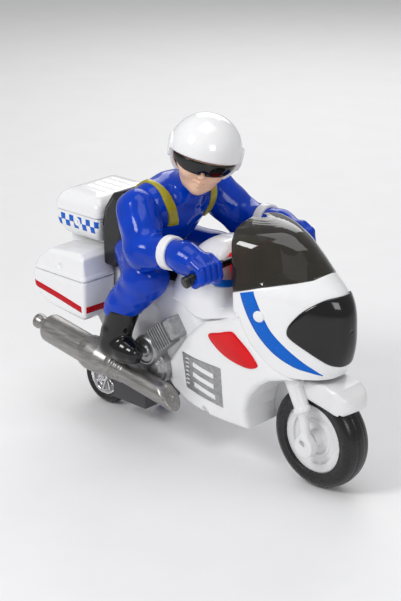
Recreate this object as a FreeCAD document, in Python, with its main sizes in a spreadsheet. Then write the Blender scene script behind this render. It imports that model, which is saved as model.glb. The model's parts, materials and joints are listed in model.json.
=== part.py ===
"""Toy police-style motorcycle with rider: moulded plastic shells, a pull-back motor and a steering fork.

Millimetres. +X is forward, +Y is the bike's left, +Z is up and the wheels stand on Z = 0.
Every driving size is a cell of the sheet "dims"; each sub-part is bound to those cells.
"""
import FreeCAD, Part
import math
import os
import Sketcher
from FreeCAD import Placement, Rotation, Vector

# ---------------------------------------------------------------- driving dimensions

DIMENSIONS = {
    # wheels and axles
    "axle_front_x": 80.0, "axle_front_z": 27.5,
    "axle_rear_x": -80.0, "axle_rear_z": 16.1,
    "front_tyre_r": 27.5, "front_tyre_w": 16.6, "front_rim_r": 18.8,
    "rear_tyre_r": 16.1, "rear_tyre_w": 12.2, "rear_rim_r": 10.8,
    "axle_r": 1.5, "axle_play": 0.06,
    # fork and steering head
    "rake": 20.0, "steer_x": 69.0, "steer_z": 57.0, "stem_r": 3.6, "stem_top": 20.0,
    "leg_in": 9.6, "leg_out": 15.0,
    # shells
    "wall": 1.6,
    # pull-back motor
    "gear_module": 0.7, "gear_w": 2.4, "gear_y": 7.8,
    "pinion_teeth": 16, "idler_teeth": 22, "barrel_teeth": 30,
    "idler_angle": 22.0, "barrel_angle": 8.0,
    "case_w": 12.0,
    # side stand
    "stand_x": -50.8, "stand_y": 15.4, "stand_pivot_z": 31.0, "stand_w": 3.0,
    # exhausts
    "pipe_y": 29.0, "pipe_tilt": 8.8,
    # luggage
    "bag_in": 13.6, "bag_out": 38.0, "bag_seam": 86.0, "box_hw": 22.0, "box_seam": 117.0,
    # rider
    "head_x": 1.0, "head_z": 163.0, "lean": 22.0, "head_turn": -45.0,
    "helmet_r": 18.6, "hand_y": 35.0,
}

doc = FreeCAD.newDocument("motorcycle")
dims = doc.addObject("Spreadsheet::Sheet", "dims")
for row, (alias, value) in enumerate(DIMENSIONS.items(), start=1):
    dims.set(f"A{row}", alias)
    dims.set(f"B{row}", str(value))
    dims.setAlias(f"B{row}", alias)
doc.recompute()

NODES = []
AXES = {
    "x": Rotation(Vector(0, 1, 0), 90),
    "y": Rotation(Vector(1, 0, 0), -90),
    "z": Rotation(),
}


# ---------------------------------------------------------------- helpers

def size(alias):
    """The value of one cell of the sheet."""
    return float(getattr(dims, alias))


def bind(obj, prop, value):
    """Set a property to a number, or tie it to cells of the sheet when value is a string."""
    if isinstance(value, str):
        obj.setExpression(prop, value)
    else:
        obj.setExpression(prop, repr(float(value)))


def place(obj, at, rotation=Rotation()):
    """Put obj at a point whose coordinates are numbers or expressions."""
    obj.Placement = Placement(Vector(), rotation)
    for letter, value in zip("xyz", at):
        bind(obj, f"Placement.Base.{letter}", value)
    return obj


def primitive(kind, name, at, rotation, **sizes):
    """One Part primitive with its sizes tied to the sheet."""
    obj = doc.addObject("Part::" + kind, name)
    for prop, value in sizes.items():
        bind(obj, prop, value)
    return place(obj, at, rotation)


def block(name, at, length, width, height, rotation=Rotation()):
    """A box whose lowest corner is at the point."""
    return primitive("Box", name, at, rotation, Length=length, Width=width, Height=height)


def cylinder(name, at, radius, height, axis="y"):
    """A cylinder that starts at the point and runs along a row axis or a Rotation of +Z."""
    rotation = AXES[axis] if isinstance(axis, str) else axis
    return primitive("Cylinder", name, at, rotation, Radius=radius, Height=height)


def sphere(name, at, radius):
    return primitive("Sphere", name, at, Rotation(), Radius=radius)


def fuse(name, *parts):
    obj = doc.addObject("Part::MultiFuse", name)
    obj.Shapes = list(parts)
    return obj


def common(name, *parts):
    obj = doc.addObject("Part::MultiCommon", name)
    obj.Shapes = list(parts)
    return obj


def cut(name, base, *tools):
    """base less every tool."""
    obj = doc.addObject("Part::Cut", name)
    obj.Base = base
    obj.Tool = tools[0] if len(tools) == 1 else fuse(name + "_tools", *tools)
    return obj


def mirror(name, source):
    """The left-hand twin of a right-hand piece."""
    obj = doc.addObject("Part::Mirroring", name)
    obj.Source = source
    obj.Normal = Vector(0, 1, 0)
    return obj


def node(obj, label):
    """Name obj as a piece of the toy that is written to its own file."""
    obj.Label = label
    NODES.append(obj)
    return obj


def origin_plane(body, role):
    return next(f for f in body.Origin.OriginFeatures if f.Role == role)


def outline(body, role, points, offset=0.0):
    """A closed sketch through the points, each coordinate tied to the sheet or a number."""
    index = len([o for o in body.Group if o.isDerivedFrom("Sketcher::SketchObject")])
    sketch = body.newObject("Sketcher::SketchObject", f"{body.Name}_outline_{index}")
    sketch.AttachmentSupport = [(origin_plane(body, role), "")]
    sketch.MapMode = "FlatFace"
    bind(sketch, "AttachmentOffset.Base.z", offset)
    values = [[evaluate(c) for c in point] for point in points]
    corners = [Vector(u, v, 0) for u, v in values]
    count = len(corners)
    for i in range(count):
        sketch.addGeometry(Part.LineSegment(corners[i], corners[(i + 1) % count]), False)
    for i in range(count):
        sketch.addConstraint(Sketcher.Constraint("Coincident", i, 2, (i + 1) % count, 1))
    for i, (point, corner) in enumerate(zip(points, corners)):
        pin_corner(sketch, i, "DistanceX", point[0], corner.x)
        pin_corner(sketch, i, "DistanceY", point[1], corner.y)
    return sketch


def pin_corner(sketch, i, kind, expression, value):
    """Hold one coordinate of corner i of a sketch at its value or expression."""
    if abs(value) < 1e-6:
        axis = -2 if kind == "DistanceX" else -1
        sketch.addConstraint(Sketcher.Constraint("PointOnObject", i, 1, axis))
        return
    index = sketch.addConstraint(Sketcher.Constraint(kind, -1, 1, i, 1, value))
    if isinstance(expression, str):
        sketch.setExpression(f"Constraints[{index}]", expression)


def evaluate(value):
    """The number that an expression over the sheet stands for."""
    if isinstance(value, str):
        return float(dims.evalExpression(value.replace("dims.", "")))
    return float(value)


def prism(name, role, points, length, offset=0.0, both_ways=False):
    """A padded outline. XZ outlines pad towards -Y, XY towards +Z, YZ towards +X."""
    body = doc.addObject("PartDesign::Body", name)
    sketch = outline(body, role, points, offset)
    pad = body.newObject("PartDesign::Pad", name + "_pad")
    pad.Profile = sketch
    bind(pad, "Length", length)
    if both_ways:
        pad.Midplane = True
    body.Tip = pad
    return body


def loft(name, role, sections):
    """A smooth loft through outlines, sections being (offset, points)."""
    body = doc.addObject("PartDesign::Body", name)
    sketches = [outline(body, role, points, offset) for offset, points in sections]
    skin = body.newObject("PartDesign::AdditiveLoft", name + "_loft")
    skin.Profile = sketches[0]
    skin.Sections = sketches[1:]
    body.Tip = skin
    return body


def turned(name, points, at, rotation=AXES["y"]):
    """A revolved profile of (radius, height) points; its axis is the local +Z."""
    body = doc.addObject("PartDesign::Body", name)
    sketch = outline(body, "XZ_Plane", points)
    spin = body.newObject("PartDesign::Revolution", name + "_spin")
    spin.Profile = sketch
    spin.ReferenceAxis = (sketch, ["V_Axis"])
    spin.Angle = 360
    body.Tip = spin
    return place(body, at, rotation)


def limb(name, joints):
    """Balls of (x, y, z, radius) joined by tapered tubes, like an arm or a leg."""
    pieces = []
    for i, (x, y, z, radius) in enumerate(joints):
        pieces.append(sphere(f"{name}_ball_{i}", (x, y, z), radius))
    for i, (first, second) in enumerate(zip(joints, joints[1:])):
        start, end = Vector(*first[:3]), Vector(*second[:3])
        run = end - start
        pieces.append(primitive("Cone", f"{name}_run_{i}", first[:3], Rotation(Vector(0, 0, 1), run),
                                Radius1=first[3], Radius2=second[3], Height=run.Length))
    return fuse(name, *pieces)


# ---------------------------------------------------------------- body shells

BODY_STATIONS = [
    # x, keel (half-width, height), belt, top
    (-94.0, (10.0, 80.0), (13.0, 86.0), (11.0, 92.0)),
    (-62.0, (12.0, 38.0), (13.0, 82.0), (11.0, 90.0)),
    (-34.0, (13.0, 38.0), (15.0, 80.0), (11.0, 90.0)),
    (-9.0, (19.0, 30.0), (19.0, 84.0), (12.0, 92.0)),
    (-5.0, (20.0, 29.0), (20.5, 85.0), (12.5, 106.0)),
    (8.0, (23.0, 28.0), (24.0, 86.0), (13.0, 119.0)),
    (23.0, (24.0, 27.5), (25.5, 88.0), (13.0, 120.0)),
    (28.0, (24.0, 27.5), (25.5, 88.0), (14.0, 101.0)),
    (46.0, (22.0, 27.5), (26.0, 90.0), (14.0, 101.0)),
]


def body_solid(name, inset):
    """The closed volume of the body, drawn in by inset on every side (negative grows it)."""
    sections = []
    for i, (x, keel, belt, top) in enumerate(BODY_STATIONS):
        ends = {0: inset, len(BODY_STATIONS) - 1: -inset}
        rows = [(keel[0] - inset, keel[1] + inset), (belt[0] - inset, belt[1]), (top[0] - inset, top[1] - inset)]
        right = [(-w, z) for w, z in rows]
        left = [(w, z) for w, z in reversed(rows)]
        sections.append((x + ends.get(i, 0.0), right + left))
    solid = loft(name, "YZ_Plane", sections)
    solid.Tip.Ruled = True
    return solid


def half_space(name, side):
    """A big block on one side of the mid-plane: side -1 is the right."""
    return block(name, (-150, -60 if side < 0 else 0, -10), 300, 60, 220)


def make_body():
    outer = body_solid("body_outer", 0.0)
    inner = body_solid("body_inner", size("wall"))
    hollow = cut("body_hollow", outer, inner)
    posts = []
    for i, (x, z) in enumerate(SCREW_PLACES):
        posts.append(cylinder(f"post_{i}", (x, -24, z), 3.0, 48))
    inside_posts = common("posts_inside", fuse("posts", *posts), inner)
    bores = fuse("post_bores", *[cylinder(f"post_bore_{i}", (x, -40, z), 1.2, 80)
                                 for i, (x, z) in enumerate(SCREW_PLACES)])
    sinks = fuse("post_sinks", *[cylinder(f"post_sink_{i}", (x, -40, z), 2.6, 40 - 14.0)
                                 for i, (x, z) in enumerate(SCREW_PLACES)])
    whole = cut("body_bored", fuse("body_posted", hollow, inside_posts), bores, sinks)
    node(common("body_shell_right", whole, half_space("right_half", -1)), "body_shell_right")
    node(common("body_shell_left", whole, half_space("left_half", 1)), "body_shell_left")
    screws = []
    for i, (x, z) in enumerate(SCREW_PLACES):
        head = cylinder(f"body_screw_head_{i}", (x, -16.0, z), 2.4, 2.0)
        shank = cylinder(f"body_screw_shank_{i}", (x, -14.0, z), 1.2, 22.0)
        screws.append(fuse(f"body_screw_{i}", head, shank))
    node(compound("body_screws", *screws), "body_screws")
    return outer


def compound(name, *parts):
    """Several separate solids kept in one node."""
    obj = doc.addObject("Part::Compound", name)
    obj.Links = list(parts)
    return obj


SCREW_PLACES = [(17.5, 35.0), (-16.0, 62.0), (-52.0, 66.0)]

body_outer = make_body()


# ---------------------------------------------------------------- nose cowl, windscreen and lamps

COWL_STATIONS = [
    # height, then (x, half-width) at the rear edge, shoulder, cheek and nose
    (56.0, (56.0, 17.5), (68.0, 18.8), (77.0, 17.0), (86.5, 6.0)),
    (70.0, (51.0, 23.0), (67.0, 21.5), (83.5, 14.5), (94.8, 4.0)),
    (86.0, (47.0, 27.2), (65.0, 24.0), (84.5, 14.5), (97.4, 4.0)),
    (104.0, (47.0, 28.0), (64.3, 23.7), (82.6, 14.3), (94.5, 3.8)),
    (113.0, (47.0, 24.9), (58.8, 21.6), (75.1, 12.8), (85.7, 3.4)),
    (122.0, (47.0, 21.5), (53.6, 19.4), (67.4, 11.5), (76.3, 3.0)),
]

SCREEN_STATIONS = [
    (96.0, (46.5, 28.4), (64.6, 24.2), (83.4, 14.4), (96.4, 4.0)),
    (104.0, (46.0, 28.2), (64.3, 23.7), (82.6, 14.3), (94.5, 3.8)),
    (113.0, (43.3, 25.4), (58.8, 21.6), (75.1, 12.8), (85.7, 3.4)),
    (122.0, (40.6, 22.9), (53.6, 19.4), (67.4, 11.5), (76.3, 3.0)),
    (129.0, (38.5, 19.6), (48.8, 16.6), (59.7, 9.9), (66.8, 2.7)),
    (133.5, (37.2, 12.8), (44.1, 10.9), (51.5, 6.5), (56.2, 2.2)),
    (135.6, (37.0, 5.0), (39.8, 4.2), (42.8, 2.7), (44.7, 1.4)),
]

SCREEN_FOOT = [(34.0, 98.5), (47.0, 104.0), (60.0, 108.0), (76.0, 112.0), (83.0, 114.5), (89.0, 119.5),
               (110.0, 140.0)]
LAMP_OUTLINE = [(-20.2, 87.5), (-19.8, 84.7), (-17.2, 80.7), (-11.9, 74.5), (-6.5, 71.0), (0.0, 69.8),
                (6.5, 71.0), (11.9, 74.5), (17.2, 80.7), (19.8, 84.7), (20.2, 87.5), (19.3, 92.5),
                (16.7, 98.5), (12.4, 102.8), (7.0, 105.2), (0.0, 106.0), (-7.0, 105.2), (-12.4, 102.8),
                (-16.7, 98.5), (-19.3, 92.5)]


def nose_solid(name, stations, inset, rear_gain=0.0, low=0.0, high=0.0):
    """A nose-shaped volume lofted upwards; rear_gain pushes its rear edge back."""
    sections = []
    last = len(stations) - 1
    for i, (z, *plan) in enumerate(stations):
        right = [(x - (rear_gain if j == 0 else inset), -(w - inset)) for j, (x, w) in enumerate(plan)]
        left = [(x, -y) for x, y in reversed(right)]
        sections.append((z + {0: low, last: high}.get(i, 0.0), right + left))
    solid = loft(name, "XY_Plane", sections)
    solid.Tip.Ruled = True
    return solid


def side_prism(name, points, half_width=60.0):
    """A side-view (x, z) outline padded evenly both sides of the mid-plane."""
    return prism(name, "XZ_Plane", points, 2 * half_width, both_ways=True)


def make_nose():
    wall = size("wall")
    above = side_prism("above_foot", SCREEN_FOOT + [(110.0, 160.0), (30.0, 160.0), (30.0, 98.5)])
    lip = side_prism("below_lip", [(40, 50), (52, 50), (60, 58.6), (74, 62.2), (82, 62.8), (95, 64.0),
                                   (106, 67), (106, 40), (40, 40)])
    outer = nose_solid("cowl_outer", COWL_STATIONS, 0.0)
    inner = nose_solid("cowl_inner", COWL_STATIONS, wall, rear_gain=2.0, low=-1.0, high=1.0)
    shell = cut("cowl_shell", outer, inner, above, lip, body_outer)
    peg = cut("cowl_peg", cylinder("cowl_peg_post", (56.5, -14.5, 46.0), 3.8, 24.0, "z"), outer, body_outer)
    peg_stub = common("cowl_peg_stub", cylinder("cowl_peg_core", (56.5, -14.5, 46.0), 3.8, 26.0, "z"), inner)
    lamp_face = nose_solid("lamp_face", COWL_STATIONS, -0.7)
    lamp_shape = prism("lamp_shape", "YZ_Plane", LAMP_OUTLINE, 60, offset=60)
    node(fuse("nose_cowl", shell, peg, peg_stub), "nose_cowl")
    lamp = common("headlight_cover", cut("lamp_skin", lamp_face, outer), lamp_shape)
    node(lamp, "headlight_cover")

    screen_outer = nose_solid("screen_outer", SCREEN_STATIONS, 0.0)
    screen_inner = nose_solid("screen_inner", SCREEN_STATIONS, 1.2, rear_gain=2.0, low=-1.0, high=-1.2)
    raised = common("screen_raised", cut("screen_skin", screen_outer, screen_inner), above)
    node(raised, "windscreen")
    return outer, inner


cowl_outer, cowl_inner = make_nose()


def make_side_pieces():
    """Lens, air grille and their left-hand twins, each a thin plate lying on the body side."""
    raised = fuse("side_raised", body_solid("side_skin_outer", -0.7),
                  nose_solid("side_skin_nose", COWL_STATIONS, -0.7, rear_gain=1.0))
    near_side = block("side_near", (0, -40, 30), 80, 20, 60)
    skin = cut("side_skin", raised, body_outer, cowl_outer, cowl_inner)
    outlines = {
        "side_lens": [(26.0, 75.5), (35.0, 79.0), (43.5, 81.8), (48.0, 79.4), (53.6, 74.2), (58.3, 68.1),
                      (58.0, 65.4), (53.9, 63.8), (47.0, 64.3), (38.3, 66.4), (30.6, 70.3)],
        "air_grille": [(3.9, 59.6), (5.4, 41.5), (34.0, 37.0), (32.4, 58.0)],
    }
    for label, points in outlines.items():
        shape = prism(label + "_shape", "XZ_Plane", points, 40)
        right = node(common(label + "_right", skin, shape, near_side), label + "_right")
        node(mirror(label + "_left", right), label + "_left")


make_side_pieces()


# ---------------------------------------------------------------- front fork, mudguard and wheel

def make_fork():
    """The fork turns on a raked stem; it carries the mudguard and the front axle."""
    rake = size("rake")
    stem_axis = Rotation(Vector(0, 1, 0), -rake)
    top = ("dims.steer_x", 0, "dims.steer_z")
    leg_side = [(63.5, 60), (76.0, 60), (82.5, 49.0), (84.0, 46.5), (87.5, 23), (84.5, 18.5), (77.5, 18.5),
                (74.0, 23), (70.0, 46.5), (67.5, 46.5)]
    outer = prism("fork_block", "XZ_Plane", leg_side, "2 * dims.leg_out", both_ways=True)
    gap = side_prism("fork_gap", [(55, 0), (100, 0), (100, 57), (55, 57)], 9.6)
    bind(gap.Tip, "Length", "2 * dims.leg_in")
    bore = cylinder("fork_axle_bore", ("dims.axle_front_x", -20, "dims.axle_front_z"), "dims.axle_r", 40)
    stem = cylinder("fork_stem", top, "dims.stem_r", "dims.stem_top", stem_axis)
    seat = cylinder("fork_seat", (68.0, 0, 57.5), "dims.stem_r + 3", 2.5, "z")
    screw_bore = cylinder("fork_screw_bore", top, 1.1, 40, stem_axis)
    fork_solid = fuse("fork_solid", cut("fork_legs", outer, gap), stem, seat)
    fork = node(cut("fork", fork_solid, bore, screw_bore), "fork")

    guard_side = [(71, 50), (71, 57.6), (80, 60.5), (91, 60.5), (98, 59.0), (103.5, 55.5), (107, 50.8),
                  (107, 49.0), (98.4, 43.0), (92, 46), (80, 50)]
    guard = side_prism("guard_block", guard_side, 11.0)
    hollow = cylinder("guard_hollow", ("dims.axle_front_x", -9.8, "dims.axle_front_z"),
                      "dims.front_tyre_r + 1.6", 19.6)
    beak_right = [(70, -11), (98.5, -11), (103.5, -8), (106.2, -4)]
    beak_left = [(x, -y) for x, y in reversed(beak_right)]
    beak = prism("guard_beak", "XY_Plane", beak_right + [(107, 0)] + beak_left, 70)
    node(cut("front_mudguard", common("guard_pointed", guard, beak), hollow, fork), "front_mudguard")

    pin = cylinder("front_axle_pin", ("dims.axle_front_x", "-dims.leg_out + 0.8", "dims.axle_front_z"),
                   "dims.axle_r", "2 * dims.leg_out - 1.6")
    node(pin, "front_axle_pin")

    lift = 6.6
    bush_at = (f"dims.steer_x - sin(dims.rake) * {lift}", 0, f"dims.steer_z + cos(dims.rake) * {lift}")
    bush_out = cylinder("head_tube_out", bush_at, 7.2, f"dims.stem_top - {lift} - 1.2", stem_axis)
    bore_tube = cylinder("head_tube_bore", top, "dims.stem_r + dims.axle_play", 60, stem_axis)
    arm = side_prism("head_arm", [(46.0, 64), (61, 64), (61, 73.4), (46.0, 73.4)], 6.0)
    node(cut("steering_head", fuse("head_solid", bush_out, arm), bore_tube), "steering_head")

    reach = "dims.stem_top"
    cap_at = (f"dims.steer_x - sin(dims.rake) * {reach}", 0, f"dims.steer_z + cos(dims.rake) * {reach}")
    cap = cylinder("stem_screw_head", cap_at, 5.0, 1.4, stem_axis)
    shank = cylinder("stem_screw_shank", ("dims.steer_x - sin(dims.rake) * 6", 0,
                                          "dims.steer_z + cos(dims.rake) * 6"), 1.1, 14.5, stem_axis)
    node(fuse("stem_screw", cap, shank), "stem_screw")
    return fork


def make_wheel(prefix, end, rim_r, tyre_r, tyre_w, shoulder):
    """Tyre and axle position shared by both wheels; the tyre is a rounded ring on the rim."""
    at = (f"dims.axle_{end}_x", 0, f"dims.axle_{end}_z")
    half = f"dims.{end}_tyre_w / 2"
    outer = f"dims.{end}_tyre_r"
    points = [(f"dims.{end}_rim_r", f"-{half} + 1.0"), (f"{outer} - {shoulder}", f"-{half}"),
              (f"{outer} - {shoulder} * 0.42", f"-{half} + {shoulder} * 0.13"),
              (f"{outer} - {shoulder} * 0.1", f"-{half} + {shoulder} * 0.5"),
              (outer, f"-{half} + {shoulder}"), (outer, f"{half} - {shoulder}"),
              (f"{outer} - {shoulder} * 0.1", f"{half} - {shoulder} * 0.5"),
              (f"{outer} - {shoulder} * 0.42", f"{half} - {shoulder} * 0.13"),
              (f"{outer} - {shoulder}", half), (f"dims.{end}_rim_r", f"{half} - 1.0")]
    return node(turned(f"{end}_tyre", points, at), f"{end}_tyre")


def make_front_wheel():
    make_wheel("front", "front", "front_rim_r", "front_tyre_r", "front_tyre_w", 6.0)
    at = ("dims.axle_front_x", 0, "dims.axle_front_z")
    bore = "dims.axle_r + dims.axle_play"
    side = [(bore, 9.2), (4.6, 9.2), (4.6, 4.4), (8.6, 4.4), (8.6, 5.6), (10.4, 5.6), (10.4, 4.8), (13.6, 4.8),
            (13.6, 6.2), ("dims.front_rim_r", 6.2)]
    other = [(radius, -height) for radius, height in reversed(side)]
    node(turned("front_hub", side + other, at), "front_hub")


def make_rear_wheel():
    make_wheel("rear", "rear", "rear_rim_r", "rear_tyre_r", "rear_tyre_w", 3.0)
    at = ("dims.axle_rear_x", 0, "dims.axle_rear_z")
    rim = turned("rear_rim", [(9.2, -4.6), ("dims.rear_rim_r", -5.4), ("dims.rear_rim_r", 5.4), (9.2, 4.6)], at)
    boss = turned("rear_boss", [("dims.axle_r", -5.8), (3.2, -5.8), (3.2, 5.8), ("dims.axle_r", 5.8)], at)
    spokes = []
    for i in range(10):
        turn = Rotation(Vector(0, 1, 0), 36.0 * i)
        offset = turn.multVec(Vector(2.6, -4.0, -0.55))
        spoke = block(f"rear_spoke_{i}", (0, 0, 0), 7.0, 8.0, 1.1, turn)
        for letter, axle, shift in zip("xyz", ("dims.axle_rear_x", "0", "dims.axle_rear_z"), offset):
            bind(spoke, f"Placement.Base.{letter}", f"{axle} + {shift:.6f}")
        spokes.append(spoke)
    node(fuse("rear_hub", rim, boss, *spokes), "rear_hub")
    axle_at = ("dims.axle_rear_x", -6.4, "dims.axle_rear_z")
    node(cylinder("rear_axle", axle_at, "dims.axle_r", 19.8), "rear_axle")


fork = make_fork()
make_front_wheel()
make_rear_wheel()


# ---------------------------------------------------------------- pull-back motor

def gear(name, teeth_alias, centre, phase, bore, width="dims.gear_w"):
    """A spur gear: a root disc and one straight-flanked tooth repeated round it."""
    module = size("gear_module")
    teeth = int(size(teeth_alias))
    pitch_r = module * teeth / 2
    body = doc.addObject("PartDesign::Body", name)
    plane = origin_plane(body, "XY_Plane")
    disc = body.newObject("Sketcher::SketchObject", name + "_disc")
    disc.AttachmentSupport = [(plane, "")]
    disc.MapMode = "FlatFace"
    for i, (radius, expression) in enumerate([
            (pitch_r - module, f"dims.gear_module * (dims.{teeth_alias} / 2 - 1)"), (evaluate(bore), bore)]):
        disc.addGeometry(Part.Circle(Vector(), Vector(0, 0, 1), radius), False)
        disc.addConstraint(Sketcher.Constraint("Coincident", i, 3, -1, 1))
        index = disc.addConstraint(Sketcher.Constraint("Radius", i, radius))
        bind(disc, f"Constraints[{index}]", expression)
    pad = body.newObject("PartDesign::Pad", name + "_disc_pad")
    pad.Profile = disc
    bind(pad, "Length", width)
    tooth_points = [("dims.gear_module * -0.62", f"dims.gear_module * (dims.{teeth_alias} / 2 - 1.3)"),
                    ("dims.gear_module * 0.62", f"dims.gear_module * (dims.{teeth_alias} / 2 - 1.3)"),
                    ("dims.gear_module * 0.30", f"dims.gear_module * (dims.{teeth_alias} / 2 + 0.7)"),
                    ("dims.gear_module * -0.30", f"dims.gear_module * (dims.{teeth_alias} / 2 + 0.7)")]
    sketch = outline(body, "XY_Plane", tooth_points)
    tooth = body.newObject("PartDesign::Pad", name + "_tooth")
    tooth.Profile = sketch
    bind(tooth, "Length", width)
    doc.recompute()
    pattern = body.newObject("PartDesign::PolarPattern", name + "_teeth")
    pattern.Originals = [tooth]
    pattern.Axis = (disc, ["N_Axis"])
    pattern.Angle = 360
    bind(pattern, "Occurrences", f"dims.{teeth_alias}")
    body.Tip = pattern
    # the first tooth points along the local +Y; phase is its angle from +X towards +Z in the side view
    turn = Rotation(Vector(0, 1, 0), -(phase - 90)) * Rotation(Vector(1, 0, 0), 90)
    return place(body, centre, turn)


def gear_train():
    """Centres and phases of pinion, idler and barrel gear, meshing in one plane."""
    module = size("gear_module")
    counts = [int(size(alias)) for alias in ("pinion_teeth", "idler_teeth", "barrel_teeth")]
    angles = [size("idler_angle"), size("barrel_angle")]
    centres = [(size("axle_rear_x"), size("axle_rear_z"))]
    phases = [90.0]
    for i, angle in enumerate(angles):
        reach = module * (counts[i] + counts[i + 1]) / 2
        x, z = centres[-1]
        centres.append((x + reach * math.cos(math.radians(angle)), z + reach * math.sin(math.radians(angle))))
        pitch_a, pitch_b = 360.0 / counts[i], 360.0 / counts[i + 1]
        share = ((angle - phases[-1]) / pitch_a) % 1.0
        phases.append(angle + 180.0 - pitch_b * (0.5 - share))
    return centres, phases


def make_motor():
    centres, phases = gear_train()
    (ax, az), (ix, iz), (bx, bz) = centres
    near_y, width = "dims.gear_y + dims.gear_w", "dims.gear_w"
    play = "dims.axle_r + dims.axle_play"
    node(gear("axle_pinion", "pinion_teeth", (ax, near_y, az), phases[0], "dims.axle_r"), "axle_pinion")
    node(gear("idler_gear", "idler_teeth", (ix, near_y, iz), phases[1], "1.0 + dims.axle_play"), "idler_gear")
    wheel = gear("barrel_gear_teeth", "barrel_teeth", (bx, near_y, bz), phases[2], "1.5")
    arbor = cylinder("barrel_arbor", (bx, -11.0, bz), 1.5, 23.6)
    hub = cylinder("barrel_hub", (bx, -7.6, bz), 2.4, "7.6 + dims.gear_y")
    node(fuse("barrel_gear", wheel, arbor, hub), "barrel_gear")
    node(cylinder("idler_pin", (ix, 7.6, iz), 1.0, 5.2), "idler_pin")

    spring = node(doc.addObject("Part::Feature", "mainspring"), "mainspring")
    spring.Shape = spiral_strip(2.7, 9.6, 6.0, 0.35, 11.0)
    spring.Placement = Placement(Vector(bx, 4.2, bz), Rotation(Vector(1, 0, 0), 90))

    # the case: a box round the spring and gears with two arms that carry the rear axle
    side = [(ax - 4.5, az - 4.0), (ax + 2.0, az - 4.5), (bx - 9.0, bz - 12.4), (bx + 12.6, bz - 12.4),
            (bx + 12.6, 37.9), (bx - 12.0, 37.9), (ax - 4.5, az + 6.0)]
    case_block = prism("case_block", "XZ_Plane", side, "2 * dims.case_w + 2.4", both_ways=True)
    wheel_room = cylinder("case_wheel_room", (ax, -20.0, az), "dims.rear_tyre_r + 1.2", 27.2)
    tail_room = block("case_tail_room", (ax - 22, -20.0, az - 20), 22, 27.2, 40)
    spring_room = cylinder("case_spring_room", (bx, -8.6, bz), 10.4, 15.8)
    tips = "dims.gear_module * (dims.{} / 2 + 1.6)"
    gear_rooms = [cylinder(f"case_gear_room_{i}", (x, 7.2, z), tips.format(alias), 4.0)
                  for i, (alias, (x, z)) in enumerate(zip(("pinion_teeth", "idler_teeth", "barrel_teeth"), centres))]
    bores = [cylinder("case_axle_bore", (ax, -20, az), play, 40),
             cylinder("case_arbor_bore", (bx, -20, bz), "1.5 + dims.axle_play", 40)]
    idler_seat = cylinder("case_idler_seat", (ix, 7.6, iz), 1.0, 5.2)
    bores.append(cylinder("case_stand_bore", ("dims.stand_x", 11.6, "dims.stand_pivot_z"), 1.3, 6))
    case = cut("case_hollow", case_block, wheel_room, tail_room, spring_room, idler_seat, *gear_rooms, *bores)
    trimmed = cut("case_clear", case, body_outer)
    node(common("motor_case_right", trimmed, half_space("case_right_half", -1)), "motor_case_right")
    node(common("motor_case_left", trimmed, half_space("case_left_half", 1)), "motor_case_left")


def spiral_strip(inner_r, outer_r, turns, thickness, width):
    """A flat spring strip wound in a spiral about the origin, standing along +Z."""
    steps = int(turns * 24)
    rows = {-0.5: [], 0.5: []}
    for i in range(steps + 1):
        share = i / steps
        angle = 2 * math.pi * turns * share
        for sign, row in rows.items():
            radius = inner_r + (outer_r - inner_r) * share + sign * thickness
            row.append(Vector(radius * math.cos(angle), radius * math.sin(angle), 0))
    inner = Part.BSplineCurve()
    inner.interpolate(rows[-0.5])
    outer = Part.BSplineCurve()
    outer.interpolate(rows[0.5])
    ends = [Part.LineSegment(rows[-0.5][k], rows[0.5][k]).toShape() for k in (0, -1)]
    wire = Part.Wire(Part.__sortEdges__([inner.toShape(), ends[1], outer.toShape(), ends[0]]))
    return Part.Face(wire).extrude(Vector(0, 0, width))


make_motor()


# ---------------------------------------------------------------- side stand

def make_stand():
    """A fold-out stand on the left of the motor case with a small flat under its foot."""
    x, y, z, w = size("stand_x"), size("stand_y"), size("stand_pivot_z"), size("stand_w")
    eye = cylinder("stand_eye", ("dims.stand_x", "dims.stand_y - dims.stand_w / 2", "dims.stand_pivot_z"), 3.2,
                   "dims.stand_w")
    leg = block("stand_leg", (x - 2.4, "dims.stand_y - dims.stand_w / 2", 4.0), 4.8, "dims.stand_w", z - 4.0)
    pad = cylinder("stand_pad", (x, "dims.stand_y - dims.stand_w / 2", 4.6), 5.4, "dims.stand_w")
    ground = block("stand_ground", (x - 10, 0, -10), 20, 40, 10)
    bore = cylinder("stand_bore", (x, 0, z), "1.3 + dims.axle_play", 30)
    node(cut("side_stand", fuse("stand_solid", eye, leg, pad), ground, bore), "side_stand")
    pin = cylinder("stand_pin_shank", (x, 11.6, z), 1.3, 6.2)
    head = cylinder("stand_pin_head", (x, 17.3, z), 2.4, 1.0)
    node(fuse("stand_pin", pin, head), "stand_pin")


make_stand()


# ---------------------------------------------------------------- engine and exhausts

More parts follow.
